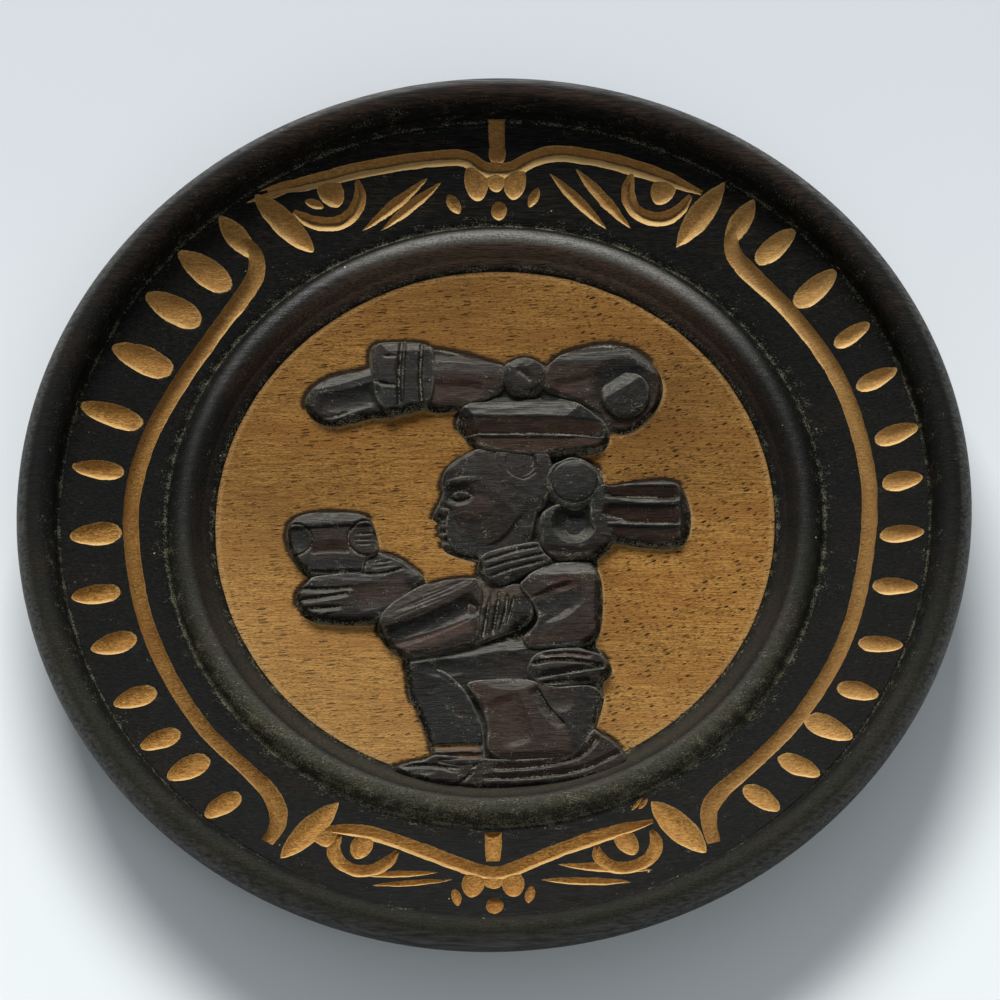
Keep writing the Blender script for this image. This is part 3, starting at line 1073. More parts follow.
# %% The shoulder, the belt, the legs and the plinth
body_forms = [
    # The waist.
    block([(-20.6, -35.5), (-20.7, -41), (-18.6, -49), (-5, -47), (10, -47), (24, -49), (26.8, -46),
        (25.5, -42), (20, -33), (12, -31), (-8, -32)], 2.3, 0.7, 0.12,
        facet((20, -36.4), (-21, -37.8), 0.08, 0.1), facet((-21, -38.6), (6, -34.6), 0.35, 0.0),
        hollow((-12, -39.4), 6, 0.5, 0.0, 0.4), hollow((2, -39), 7, 0.4, 0.25, 0.6),
        knife_marks(0.09, 6, 1.6, 6, 31)),
    # The plinth.
    block([(-25.5, -65), (-19, -62.6), (-13, -61.6), (-3, -62.5), (10, -62.5), (20, -60.5),
        (24.6, -54.8), (29, -57), (32, -60), (33.6, -64), (22, -68.6), (0, -70.6), (-14, -69.4)],
        2.7, 0.7, 0.25,
        vee([(25.6, -57), (21.6, -61.8), (12, -64.6), (0, -65.4)], 0.9, 1.3, 0.8, 0.6),
        vee([(31, -61), (22, -65.4), (10, -67.4), (-2, -67.8)], 0.7, 1.2, 0.7, 0.5),
        vee([(-13, -63.2), (-8, -63.8), (-3, -63.4)], 0.5, 0.9, 0.6),
        hollow((-17, -65), 5, 0.4, 0.0, 0.5),
        vee([(-22, -64.8), (-15, -64.4), (-7, -66)], 0.6, 1.0, 0.5),
        vee([(-3.4, -63.6), (-5, -67), (-8.4, -69.6)], 0.6, 0.6, 0.6),
        knife_marks(0.1, 6, 1.2, 12, 32)),
    # The near thigh.
    block([(-20.4, -40), (-18.4, -49), (-15.6, -57), (-13, -64), (-8, -67), (-1.6, -66), (-1.2, -60),
        (-2, -54), (-4, -49), (-7, -44), (-13, -39)], 3.0, 0.9, 0.0,
        crown(0.6, 2.2), facet((-14, -38), (-8.6, -62), 0.05), facet((-6, -60), (-3.4, -46), 0.12),
        vee([(-15, -59.2), (-9, -59.4), (-2, -59.4)], 0.5, 1.7, 0.8, 1.35),
        vee([(-14.6, -61.6), (-8, -61.9), (-2, -61.7)], 0.4, 1.5, 0.7, 1.2),
        hollow((-7.4, -51.6), 0.8, 0.25, 0.9),
        vee([(-12, -64.6), (-7, -65), (-2.4, -64.4)], 0.5, 0.9, 0.5),
        knife_marks(0.07, 2.4, 6, 16, 33)),
    # The garment.
    block([(-6.4, -43.6), (-3.4, -48.6), (-1.4, -54.6), (-1, -61), (4, -64), (14, -64.4), (20.6, -61.8),
        (24.2, -56), (26.2, -50), (26.9, -46), (24, -43.5), (15, -44), (8, -42), (0, -42)], 3.4, 0.9, 0.6,
        crown(0.5, 1.6), facet((-5, -42.8), (28, -43.4), 0.2, 0.2), hollow((4, -40), 8, 0.6, 0.1, 0.7),
        facet((14, -45), (20, -62), 0.14, 0.12), facet((22, -44), (22, -62), 0.35, 0.05),
        vee([(10.4, -44.4), (13.4, -49.6), (17.6, -54.6)], 0.5, 2.6, 0.85, 0.3),
        flute([(2, -47), (5, -54), (7, -60)], 8.5, 0.7, 0.72),
        facet((24, -60.6), (-2, -61.4), 0.4, 0.5), hollow((16.4, -47.6), 3.6, 0.4, 0.35),
        knife_marks(0.08, 6, 1.6, 4, 34)),
    # The shoulder.
    block([(13, -12), (20, -11.2), (24.5, -11.6), (26, -15), (26.6, -21), (26.2, -27.5), (25, -31.5),
        (21.5, -33.4), (14, -34.4), (8, -34), (7, -31), (10.5, -26.5), (8.5, -22), (6, -18)],
        3.6, 0.9, 0.4,
        facet((10, -15.6), (28, -15), 0.38, 0.05), facet((24.2, -10), (24.2, -36), 0.5, 0.1),
        hollow((15.6, -22.4), 7.4, 0.9, 0.08, 0.62, 32), facet((27, -27), (8, -29.6), 0.12, 0.62),
        vee([(8, -31.4), (13, -27.6), (19, -23)], 1.6, 2.2, 0.35, 0.25),
        facet((26, -31.6), (6, -33.4), 0.5, 0.2),
        vee([(8.6, -21.8), (13, -19.4), (19, -17)], 0.4, 1.8, 0.45, 0.7),
        hollow((17, -17.6), 4, 0.2, 0.9, 0.5), knife_marks(0.1, 5, 1.6, 24, 35)),
    # The knotted belt.
    block([(8.2, -38.6), (9.6, -36), (12, -34.8), (17, -34), (22, -34), (26, -34.8), (28.4, -37),
        (28.9, -39.5), (27.4, -41.8), (24, -43.2), (18, -44.2), (12, -45), (9.5, -43), (8, -40.6)],
        3.8, 1.2, 0.1,
        crown(0.8, 1.6), facet((9, -36.8), (28, -36), 0.3, 0.0),
        vee([(9.2, -38.6), (14, -37.6), (20, -37.7), (26.4, -39)], 0.5, 1.0, 0.9, 0.5),
        vee([(10.6, -42.4), (15, -41.4), (20, -40.6), (27, -39.4)], 1.5, 0.5, 0.9, 0.2),
        vee([(11.6, -43.6), (17, -43.2), (25.6, -42.6)], 0.6, 0.8, 0.8, 0.2),
        vee([(12, -36.4), (18, -35.8), (24, -36.6)], 0.4, 1.1, 0.5, 0.8),
        knife_marks(0.07, 4, 1.1, 3, 36)),
]
print("forms of the body:", len(body_forms))

# %% The bed under the forms
# Between two forms the knife doesn't go down to the ground, so a low bed lies under each group.
def bed(points, top, seed):
    return block(points, top, 0.8, 0.0, knife_marks(0.12, 2.4, 1.0, 8, seed))


beds = [
    bed([(-29, 46.5), (-24, 47.6), (-16.5, 46.6), (-9, 44.8), (-3, 43), (1.6, 41.6), (5, 43.2),
        (9, 43.2), (12, 42.2), (15.4, 44), (20, 46.2), (26, 47.4), (31, 46.8), (36, 44.2), (39, 40.4),
        (40.4, 36.2), (39.8, 32), (37.4, 28.6), (34.2, 25.2), (31, 23.6), (29, 24.4), (27.4, 22.6),
        (26.8, 20.5), (25.5, 18.6), (20, 18), (10, 17.4), (3, 17.8), (-2.6, 19), (-6.4, 21.6),
        (-9, 25.5), (-8.6, 28.6), (-10, 30.2), (-17, 30.4), (-22, 29.4), (-27, 28.6), (-31, 27.8),
        (-35.5, 26.6), (-39.5, 25.8), (-43, 26.6), (-45.4, 29), (-46.4, 32), (-45.2, 35), (-41.6, 38),
        (-36, 39.8), (-30.4, 40.2), (-30, 43)], 1.2, 41),
    bed([(-12, 9), (-9.6, 14.4), (-4, 18), (4, 19), (14, 19), (20, 17), (25.8, 14), (27.2, 9.8),
        (34, 10), (42, 10.4), (45.2, 8.2), (47.2, 3), (46.8, -3), (44.8, -6.2), (36, -6.5), (30, -5.6),
        (28, -6.8), (25.4, -9.6), (25.4, -13), (26, -20), (25.6, -28), (25, -32), (27, -35.4),
        (28.3, -38.6), (27, -41.4), (26.4, -45), (25.4, -50), (23.4, -56), (20, -62), (10, -64),
        (2, -64.4), (-8, -64.4), (-12.4, -62), (-15, -57), (-18, -49), (-20, -42), (-20.2, -37),
        (-21.4, -36), (-25, -33.4), (-27.4, -30), (-27.4, -27.4), (-26, -24.2), (-21.6, -20.4),
        (-16, -17.2), (-11, -15.6), (-5.6, -15.6), (-3.8, -12.6), (-4, -10), (-10, -8), (-12, -3),
        (-12, 2)], 1.3, 42),
    bed([(-47.4, -19), (-46, -16.4), (-43, -15.4), (-46.4, -13), (-49.2, -8), (-50, -2), (-48, 0.4),
        (-40, 2.3), (-31, 0.8), (-28.8, -4), (-28.2, -8.8), (-25, -9.4), (-21, -11.8), (-17.2, -15.6),
        (-20.4, -19.2), (-25, -24), (-26.6, -26.4), (-29, -27), (-41, -26.8), (-45, -25)], 1.1, 43),
]

# %% Carving the whole figure
# The whole mass slants down to the ground along its border, the face less than the rest.
mass = border_field([outline for outline, *_ in headdress + head_forms + arm_forms + body_forms])
figure = [
    carved_piece("headdress_bed", beds[:1], mass),
    carved_piece("body_bed", beds[1:], mass),
    carved_piece("figure_lower", body_forms, mass),
    carved_piece("figure_arm", arm_forms, mass),
    carved_piece("figure_face", head_forms[:1], mass, slant=0.22),
    carved_piece("figure_head", head_forms[1:], mass),
    carved_piece("figure_headdress", headdress, mass),
]

# %% [markdown]
# The bare ground. Around the figure the carver cuts the board back to clean wood. It is one disc,
# set into the board so that its rim is buried there, with the slight waves that a flat gouge
# leaves. Two values are kept on its points: `halo`, the stain that has crept over the edge above
# and left of each form, and `pale`, the light bruised fibres below them, both worked out from the
# distance to the outlines.

# %% Stain and bruises round the forms
GROUND_CELL = 0.45
DISC_RADIUS = GROUND_RADIUS + 0.9
DISC_ROOT_Z = FLOOR_Z + 0.15
STAINED_SIDE = (-0.5, 0.86)
HALO_WIDTH = 1.15
BRUISE_WIDTH = 0.7


def halo_and_pale(spots, forms):
    """Both values at each spot, from 0 to 1."""
    halo, pale = np.zeros(len(spots)), np.zeros(len(spots))
    for outline, *_ in forms:
        low, high = outline.min(axis=0) - 4, outline.max(axis=0) + 4
        close = np.all((spots > low) & (spots < high), axis=1)
        distance, near = outline_distance(spots[close], outline)
        out = np.clip(-distance, 0, None)
        way = (spots[close] - near) / np.where(distance < 0, out + 1e-6, -distance - 1e-6)[:, None]
        side = way[:, 1] * STAINED_SIDE[1] + way[:, 0] * STAINED_SIDE[0]
        shade = np.exp(-(out / HALO_WIDTH) ** 1.3) * soft_step(side, -0.35, 0.5)
        bruise = np.exp(-(out / BRUISE_WIDTH) ** 1.2) * soft_step(-side, -0.1, 0.5)
        halo[close] = np.maximum(halo[close], shade)
        pale[close] = np.maximum(pale[close], bruise)
    return halo, pale


# %% The ground
def boundary_edges(bm):
    return [e for e in bm.edges if e.is_boundary]


def ground_piece(forms):
    bm = bmesh.new()
    halo_layer, pale_layer = (bm.verts.layers.float.new(name) for name in ("halo", "pale"))
    cells = int(2 * DISC_RADIUS / GROUND_CELL)
    verts = bmesh.ops.create_grid(bm, x_segments=cells, y_segments=cells, size=DISC_RADIUS)["verts"]
    spots = np.array([(v.co.x, v.co.y) for v in verts])
    halo, pale = halo_and_pale(spots, forms)
    for v, spot, dark, light in zip(verts, spots, halo, pale):
        wave = noise.noise(Vector((spot[0] * 0.07, spot[1] * 0.2, 3.1)))
        fibre = noise.noise(Vector((spot[0] * 0.3, spot[1] * 1.1, 9.4)))
        v.co = (spot[0], spot[1], GROUND_Z + 0.1 * wave + 0.05 * fibre - 0.12 * dark)
        v[halo_layer] = dark
        v[pale_layer] = light
    outside = [f for f in bm.faces if f.calc_center_median().xy.length > DISC_RADIUS]
    bmesh.ops.delete(bm, geom=outside, context="FACES")
    skirt = bmesh.ops.extrude_edge_only(bm, edges=boundary_edges(bm))["geom"]
    for v in (g for g in skirt if isinstance(g, bmesh.types.BMVert)):
        v.co.z = DISC_ROOT_Z
    bmesh.ops.holes_fill(bm, edges=boundary_edges(bm), sides=0)
    print("ground closed:", all(e.is_manifold for e in bm.edges))
    return finished("carved_ground", bm, crisp_angle=60)


ground = ground_piece(beds + headdress + head_forms + arm_forms + body_forms)

# %% [markdown]
# Shader sums. A finish here is worked out from the place on the plate, so its recipe is mostly
# arithmetic. This small class wraps one socket of a node tree: ordinary sums on it add Math nodes,
# and `node` adds any other node, with its settings first and then its inputs.

# %% One socket that can be reckoned with
class Wire:
    def __init__(self, tree, socket=None):
        self.tree = tree
        self.socket = socket

    def node(self, kind, settings=None, inputs=None, output=0):
        made = self.tree.nodes.new(kind)
        for name, value in (settings or {}).items():
            setattr(made, name, value)
        for name, value in (inputs or {}).items():
            if isinstance(value, Wire):
                self.tree.links.new(value.socket, made.inputs[name])
            else:
                made.inputs[name].default_value = value
        return Wire(self.tree, made.outputs[output] if len(made.outputs) else None)

    def math(self, operation, *others):
        inputs = dict(enumerate((self, *others)))
        return self.node("ShaderNodeMath", {"operation": operation}, inputs)

    def __add__(self, other):
        return self.math("ADD", other)

    def __sub__(self, other):
        return self.math("SUBTRACT", other)

    def __rsub__(self, other):
        return (self * -1.0).math("ADD", other)

    def __mul__(self, other):
        return self.math("MULTIPLY", other)

    def __truediv__(self, other):
        return self.math("DIVIDE", other)

    def __pow__(self, other):
        return self.math("POWER", other)

    __radd__ = __add__
    __rmul__ = __mul__

    def between(self, low, high):
        """0 below low, 1 above high, smooth in between; low may be the larger of the two."""
        settings = {"interpolation_type": "SMOOTHSTEP"}
        return self.node("ShaderNodeMapRange", settings, {"Value": self, "From Min": low, "From Max": high})

    def clear(self):
        """Keeps the value between 0 and 1."""
        return self.node("ShaderNodeClamp", None, {"Value": self})

    def split(self, kind="ShaderNodeSeparateXYZ"):
        """The three numbers that a vector or a colour is made of."""
        first = self.node(kind, None, {0: self})
        return [Wire(self.tree, socket) for socket in first.socket.node.outputs[:3]]

    def shown(self, kind="ShaderNodeOutputMaterial"):
        """Makes this shader the one that the whole tree shows."""
        self.node(kind, None, {"Surface": self})


# %% Colours, vectors and patterns
def linear(red, green, blue):
    """A colour given as 0 to 255 on screen, as the renderer counts it."""
    parts = [c / 255 for c in (red, green, blue)]
    return (*[c / 12.92 if c <= 0.04045 else ((c + 0.055) / 1.055) ** 2.4 for c in parts], 1.0)


def mixed(first, second, share):
    """The first colour, which is a wire or a fixed colour, with a share of the second over it."""
    settings = {"data_type": "RGBA", "clamp_factor": True}
    return share.node("ShaderNodeMix", settings, {0: share, 6: first, 7: second}, output=2)


def stretched(place, x, y, z, shift=(0.0, 0.0, 0.0)):
    scaled_place = place.node("ShaderNodeVectorMath", {"operation": "MULTIPLY"}, {0: place, 1: (x, y, z)})
    return place.node("ShaderNodeVectorMath", {"operation": "ADD"}, {0: scaled_place, 1: shift})


def turned(place, degrees):
    inputs = {"Vector": place, "Angle": math.radians(degrees)}
    return place.node("ShaderNodeVectorRotate", {"rotation_type": "Z_AXIS"}, inputs)


def grain(place, detail=3.0, roughness=0.55, distortion=0.0):
    inputs = {"Vector": place, "Scale": 1.0, "Detail": detail, "Roughness": roughness,
              "Distortion": distortion}
    return place.node("ShaderNodeTexNoise", None, inputs)


def value_named(place, name):
    return place.node("ShaderNodeAttribute", {"attribute_name": name}, None, output=2)


def places(place):
    """The three coordinates and the distance from the plate's axis."""
    x, y, z = place.split()
    return x, y, z, (x * x + y * y) ** 0.5


def ring_band(radius, centre, width):
    """1 on a circle round the middle of the plate, and 0 at the given width beside it."""
    off = (radius - centre) / width
    return (1.0 - off * off).clear()


def ring_bands(radius, bands):
    """Several such circles, each with its radius, its width and its strength."""
    return sum(ring_band(radius, centre, width) * strength for centre, width, strength in bands)


def window_side(place):
    """How far the surface turns towards the figure's head, which is where the window is."""
    return place.node("ShaderNodeTexCoord", None, None, output=1).split()[1]


# %% Materials
def new_material(name):
    """An empty material, and the place on its piece in millimetres."""
    material = bpy.data.materials.new(name)
    material.use_nodes = True
    tree = material.node_tree
    tree.nodes.clear()
    local = Wire(tree).node("ShaderNodeTexCoord", output=3)
    place = local.node("ShaderNodeVectorMath", {"operation": "SCALE"}, {0: local, 3: 1 / MM})
    return material, place


def raised(height, relief):
    """A fine relief, whose strength is in millimetres."""
    return height.node("ShaderNodeBump", None, {"Strength": 1.0, "Distance": relief * MM, "Height": height})


def surfaced(colour, roughness, bump, shine=0.1, polish=None):
    """A dull surface. Polish is how far a second, glossier one shows in place of it."""
    shared = {"Base Color": colour, "Normal": bump}
    dull = {**shared, "Roughness": roughness, "Specular IOR Level": shine}
    surface = bump.node("ShaderNodeBsdfPrincipled", None, dull)
    if polish is not None:
        gloss = {**shared, "Roughness": 0.34, "Specular IOR Level": 0.5}
        glossy = bump.node("ShaderNodeBsdfPrincipled", None, gloss)
        surface = bump.node("ShaderNodeMixShader", None, {0: polish, 1: surface, 2: glossy})
    surface.shown()


# %% [markdown]
# Wood finishes. Bare wood is ochre, with fine fibres along X and short dark pores that slant a
# little across them. Stained wood is nearly black and dull, browner where the stain is thin, with
# fine streaks along the grain. It shines only where hands have polished it: on the bead, on the
# outside of the lip and on the crests of the figure. Pale dust stays in the grooves.

# %% Bare wood
OCHRE, PALE_OCHRE = linear(116, 78, 31), linear(188, 141, 75)
BANDED_BROWN, WORN_BROWN, PORE_BROWN = linear(140, 92, 42), linear(72, 49, 22), linear(38, 22, 10)


def pores(place, angle, long, wide, seed, filled):
    """Short dark dashes, one in each cell of a slanting lattice; only some cells are filled."""
    cells = stretched(turned(place, -angle), 1 / long, 1 / wide, 1 / wide, (seed, seed, 0))
    settings = {"feature": "F1", "voronoi_dimensions": "2D"}
    inputs = {"Vector": cells, "Scale": 1.0, "Randomness": 0.95}
    apart = place.node("ShaderNodeTexVoronoi", settings, inputs)
    chance = place.node("ShaderNodeTexVoronoi", settings, inputs, output=1)
    chosen, length, strength = chance.split("ShaderNodeSeparateColor")
    size = chosen.math("GREATER_THAN", 1.0 - filled) * (length * 0.17 + 0.1)
    return (size - apart).between(-0.02, 0.1) * (strength * 0.6 + 0.4)


def bare_wood(place, freshness, dotted, porous=1.0):
    """Colour and relief of bare wood. Freshness 1 is clean and lower is browner; dotted is how
    far its pores are cut across into dots, instead of running along the fibres."""
    fibre = grain(stretched(place, 0.2, 2.3, 2.3), 4.0, 0.66, 0.3)
    band = grain(stretched(place, 0.02, 0.11, 0.11, (4, 4, 4)), 3.0)
    fuzz = grain(stretched(place, 1.1, 2.6, 2.6, (6, 2, 6)), 3.0, 0.75)
    dots = pores(place, 22, 3.0, 1.25, 0.0, 0.55) * dotted.between(0.3, 0.6)
    lines = pores(place, 6, 5.2, 0.9, 7.0, 0.5) * dotted.between(0.7, 0.3) * 0.85
    small = pores(place, 14, 1.6, 0.8, 3.0, 0.3) * 0.6
    dark = (dots + lines + small).clear() * porous
    ochre = mixed(OCHRE, PALE_OCHRE, (fibre * 0.5 + fuzz * 0.5).between(0.38, 0.64))
    banded = mixed(ochre, BANDED_BROWN, band.between(0.4, 0.7) * 0.6)
    worn = mixed(WORN_BROWN, banded, freshness)
    colour = mixed(worn, PORE_BROWN, dark)
    height = fibre * 0.5 + fuzz * 0.5 - dark * 1.1
    return colour, height


# %% Stained wood and dust
BLACK, WORN_BLACK = linear(6, 7, 7), linear(29, 31, 28)
THIN_STAIN, THINNER_STAIN, SHOWN_WOOD = linear(30, 20, 15), linear(74, 52, 39), linear(126, 92, 54)


def stained_wood(place, brown):
    """Colour, roughness and streaks of stained wood; brown is how far the stain is rubbed."""
    streak = grain(stretched(place, 0.22, 3.4, 3.4), 5.0, 0.75)
    patch = grain(stretched(place, 0.05, 0.09, 0.09, (2, 5, 1)), 3.0)
    black = mixed(BLACK, WORN_BLACK, streak.between(0.38, 0.68))
    warm = mixed(THIN_STAIN, THINNER_STAIN, streak.between(0.3, 0.7))
    stained = mixed(black, warm, (brown + (patch - 0.5) * 0.7).clear())
    colour = mixed(stained, SHOWN_WOOD, (brown - 1.0) * 1.6)
    roughness = 0.5 + patch * 0.16 + streak * 0.12
    return colour, roughness, streak


def dust(place, seed, amount):
    """Pale powder in grains of a third of a millimetre; the amount says how much wood it hides."""
    fine = grain(stretched(place, 2.0, 2.8, 2.8, (seed, seed, 0)), 2.0, 0.7)
    cloud = grain(stretched(place, 0.25, 0.4, 0.4, (seed, 3, 0)), 3.0)
    return (fine + (cloud - 0.5) * 0.6 + amount * 0.24).between(0.71, 0.83)


def flakes(place):
    """A few tiny pale chips."""
    return pores(place, 40, 1.3, 0.9, 13.0, 0.0012)


# %% Wood in the rim's cuts
BAND_INSIDE, BAND_OUTSIDE = 80.4, 104.4
TORN_BROWN, LINE_BROWN, LIT_FIBRE = linear(74, 48, 24), linear(44, 27, 14), linear(226, 190, 128)


def rim_cuts(place, z, radius):
    """How bare the wood is, how far down in its cut it lies, and how clean that cut is."""
    plane = (radius - INNER_GROOVE) * math.tan(BAND_SLOPE) + BAND_LOW_Z
    beyond = (radius - BAND_OUTSIDE).math("MAXIMUM", BAND_INSIDE - radius).math("MAXIMUM", 0.0)
    deep = plane + beyond * 3.0 - z
    cut, full = value_named(place, "cut"), value_named(place, "depth")
    torn = grain(stretched(place, 0.9, 2.2, 2.2, (3, 1, 2)), 4.0, 0.7) - 0.5
    bare = cut.between(0.05, 0.3) * (deep + torn * 0.5).between(0.0, 0.16)
    return bare, (deep / (full + 0.01)).clear(), cut, torn


def cut_wood(place, x, cut, down, torn, fuzz):
    """Colour, soil and relief of a cut. The blade leaves it hatched, and the sweeps of the top
    mask are dark along their lowest line."""
    hatch = grain(stretched(turned(place, -28), 0.2, 1.9, 1.9, (9, 2, 2)), 4.0, 0.72)
    soil = ((down + torn * 0.5).between(0.4, 1.1) * 0.35 + 0.8) * (1.0 - cut)
    wood, wood_height = bare_wood(place, (1.08 - soil).clear(), x.between(-30, 30), 0.35)
    ragged = (hatch * 0.55 + fuzz * 0.45).between(0.5, 0.36)
    hatched = mixed(wood, TORN_BROWN, ragged * (1.15 - cut) * 0.9)
    swept = cut.between(0.55, 0.62) * cut.between(0.7, 0.695)
    line = (down + torn * 0.16).between(0.84, 0.99) * swept * 0.8
    height = wood_height * 0.7 + hatch + fuzz * 0.6 + (torn + 0.5) * 0.6
    return mixed(hatched, LINE_BROWN, line), soil, height


def lit_fibres(place, x, y, soil, down, torn, fuzz):
    """Torn fibres catch the light at the rims of the cuts and on walls that face the window."""
    at_rim = (down + torn * 0.4).between(0.3, 0.0) * 0.35 + (fuzz - 0.5).between(0.06, 0.2) * 0.3
    at_rim = at_rim + y.between(0, 80) * 0.1 + x.between(20, 90) * 0.14
    facing = window_side(place) + y * 0.0028
    struck = (facing + (fuzz - 0.5) * 0.4).between(0.3, 0.62) * 0.6
    return (at_rim * (1.0 - soil * 0.6) + struck).clear()


# %% Stain on the board
# A ring is its radius, its width and its strength.
DUSTY_RINGS = [(INNER_GROOVE + 0.2, 3.4, 0.45), (OUTER_GROOVE + 1.0, 3.0, 0.35), (INNER_GROOVE, 0.7, 0.5),
               (OUTER_GROOVE + 0.1, 0.5, 0.6), (GROUND_RADIUS + 1.0, 1.0, 0.7)]
FILMED_RINGS = [(78.2, 2.6, 0.3), (BEAD_RADIUS, 2.2, 0.34), (71.0, 2.4, 0.16), (111.6, 4.0, 0.16)]
BEVEL_RING, BAND_TOP_RING = (71.4, 3.4), (109, 3)
BEAD_RING, LIP_RING, UNDER_BEAD_RING = (BEAD_RADIUS + 0.2, 2.3), (113.6, 1.6), (77.0, 4.0)
RUBBED_BEVEL, RUBBED_GREY, GROOVE_DUST = linear(112, 95, 80), linear(112, 111, 105), linear(116, 114, 94)
CHIP = linear(176, 168, 140)


def board_dust(place, lower, radius, fuzz):
    """Dust in the grooves, and a thin film of it on the lower half."""
    settled = ring_bands(radius, DUSTY_RINGS) + lower * ring_band(radius, *UNDER_BEAD_RING) * 0.6
    film = lower * ring_bands(radius, FILMED_RINGS)
    return (dust(place, 1.7, settled) * 0.62 + film * fuzz.between(0.2, 0.7)).clear()


def board_stain(place, x, y, radius, fuzz):
    """Colour, roughness, relief and polish of the board where its stain is whole."""
    upper, lower = y.between(20, 90), y.between(10, -60)
    wide_streak = grain(stretched(place, 0.1, 1.3, 1.3, (7, 7, 1)), 4.0, 0.7)
    bevel = ring_band(radius, *BEVEL_RING) * (upper * 0.7 + 0.15)
    brown = bevel + ring_band(radius, *BAND_TOP_RING) * upper * 0.35 + (wide_streak - 0.52) * upper * 2.0
    stain, roughness, streak = stained_wood(place, brown)
    lifted = mixed(stain, RUBBED_BEVEL, bevel * upper * streak.between(0.3, 0.6) * 0.8)
    worn = wide_streak.between(0.3, 0.7)
    on_bead = ring_band(radius, *BEAD_RING)
    lit_bead = on_bead * (y * 0.97 + x * 0.2).between(48, 76) * fuzz.between(0.3, 0.6)
    grey = lit_bead + ring_band(radius, *LIP_RING) * worn * 0.4
    rubbed = mixed(lifted, RUBBED_GREY, grey * 0.8)
    colour = mixed(rubbed, GROOVE_DUST, board_dust(place, lower, radius, fuzz))
    height = streak * 0.5 + wide_streak * 0.15 + fuzz * 0.15
    handled = on_bead * (y.between(10, 70) * 0.45 + 0.2) + radius.between(111.2, 113.6) * 0.75
    return colour, roughness, height, handled * (worn * 0.6 + 0.4)


# %% The board's finish
def board_material():
    material, place = new_material("stained_and_cut_wood")
    x, y, z, radius = places(place)
    fuzz = grain(stretched(place, 1.5, 2.8, 2.8, (2, 9, 4)), 3.0, 0.78)
    bare, down, cut, torn = rim_cuts(place, z, radius)
    stained = 1.0 - bare
    wood, soil, wood_height = cut_wood(place, x, cut, down, torn, fuzz)
    rim = mixed(wood, LIT_FIBRE, lit_fibres(place, x, y, soil, down, torn, fuzz))
    stain, stain_rough, stain_height, handled = board_stain(place, x, y, radius, fuzz)
    colour = mixed(mixed(stain, rim, bare), CHIP, flakes(place) * stained)
    roughness = stain_rough * stained + bare * 0.66
    height = stain_height * stained + wood_height * bare
    surfaced(colour, roughness, raised(height, 0.2), 0.06, handled * stained)
    return material


# %% The ground's finish
BRUISED_FIBRE, CREPT_STAIN = linear(178, 146, 98), linear(24, 18, 13)


def ground_material():
    material, place = new_material("bare_carved_ground")
    x, y, z, radius = places(place)
    halo, pale = value_named(place, "halo"), value_named(place, "pale")
    blur = grain(stretched(place, 0.5, 1.4, 1.4, (8, 2, 0)), 3.0, 0.7)
    speck = grain(stretched(place, 1.8, 2.2, 2.2, (5, 1, 0)), 2.0, 0.6)
    wide = grain(stretched(place, 0.02, 0.03, 0.03, (1, 7, 0)), 1.0)
    fresh = 1.0 + (wide - 0.5) * 0.8 - (y * 0.95 - x * 0.1).between(-50, 40) * 0.45
    wood, height = bare_wood(place, fresh, (x * 0.9 - y * 0.3).between(-34, 26))
    stain = (halo + (blur - 0.5) * 0.7 * (halo * 4.0).clear()).between(0.3, 0.8)
    bruised = (pale + (speck - 0.5) * 1.8 * (pale * 4.0).clear()).between(0.45, 0.85)
    cut_rim = ring_band(radius, GROUND_RADIUS - 0.5, 0.7) * speck.between(0.3, 0.6)
    faded = (y * 1.0 + x * 0.4).between(0, -70) * 0.22
    lit = mixed(wood, BRUISED_FIBRE, (bruised * 0.45 + cut_rim * 0.4 + faded).clear())
    colour = mixed(lit, CREPT_STAIN, stain * 0.92)
    surfaced(colour, 0.66, raised(height + speck * 0.35, 0.46), 0.06)
    return material


# %% The figure's finish
HANDLED_GREY, SUNK_BLACK = linear(108, 104, 92), linear(3, 3, 3)
FIGURE_FILM, FIGURE_DUST = linear(66, 67, 55), linear(132, 131, 112)


def figure_material():
    material, place = new_material("rubbed_figure_stain")
    tone, edge, relief, slope = (value_named(place, name) for name in VALUES)
    stain, roughness, streak = stained_wood(place, tone)
    fine = grain(stretched(place, 0.9, 2.6, 2.6, (5, 5, 5)), 3.0, 0.75)
    wide = grain(stretched(place, 0.3, 0.5, 0.5, (3, 8, 2)), 2.0)
    crest = (relief + (fine - 0.5) * 1.6 + (wide - 0.55) * 2.0).between(0.25, 0.95)
    sunk = (relief * -1.0 + (fine - 0.5) * 0.6).between(0.1, 0.7)
    slanting = slope.between(0.05, 0.5)
    level = 1.0 - slanting
    facing = window_side(place)
    handled = facing.between(0.1, 0.3) * facing.between(0.8, 0.5) * (1.0 - edge * 0.7)
    handled = handled * streak.between(0.32, 0.58) * level * (1.0 - tone * 0.7)
    rubbed = mixed(stain, HANDLED_GREY, (crest * 0.26 * level + handled * 0.38).clear())
    dark = mixed(rubbed, SUNK_BLACK, (sunk * 0.85 + slanting * 0.72).clear())
    filmed = mixed(dark, FIGURE_FILM, (fine * 0.6 + wide * 0.4).between(0.5, 0.66) * 0.25)
    specks = dust(place, 4.1, edge * 1.05 + sunk * 0.9 + slanting * 0.3 + 0.16)
    colour = mixed(filmed, FIGURE_DUST, specks * 0.7)
    polish = (0.11 + crest * 0.75) * streak.between(0.25, 0.62) * level + handled * 0.4 - sunk * 0.5
    height = streak * 1.0 + fine * 0.5 + wide * 0.8
    surfaced(colour, roughness, raised(height, 0.14), 0.1, polish.clear())
    return material


# %% Metal
BRASS, BRIGHT_BRASS = linear(196, 160, 92), linear(214, 182, 116)
DULL_BRASS, BRASS_SPOT = linear(118, 88, 50), linear(60, 48, 34)


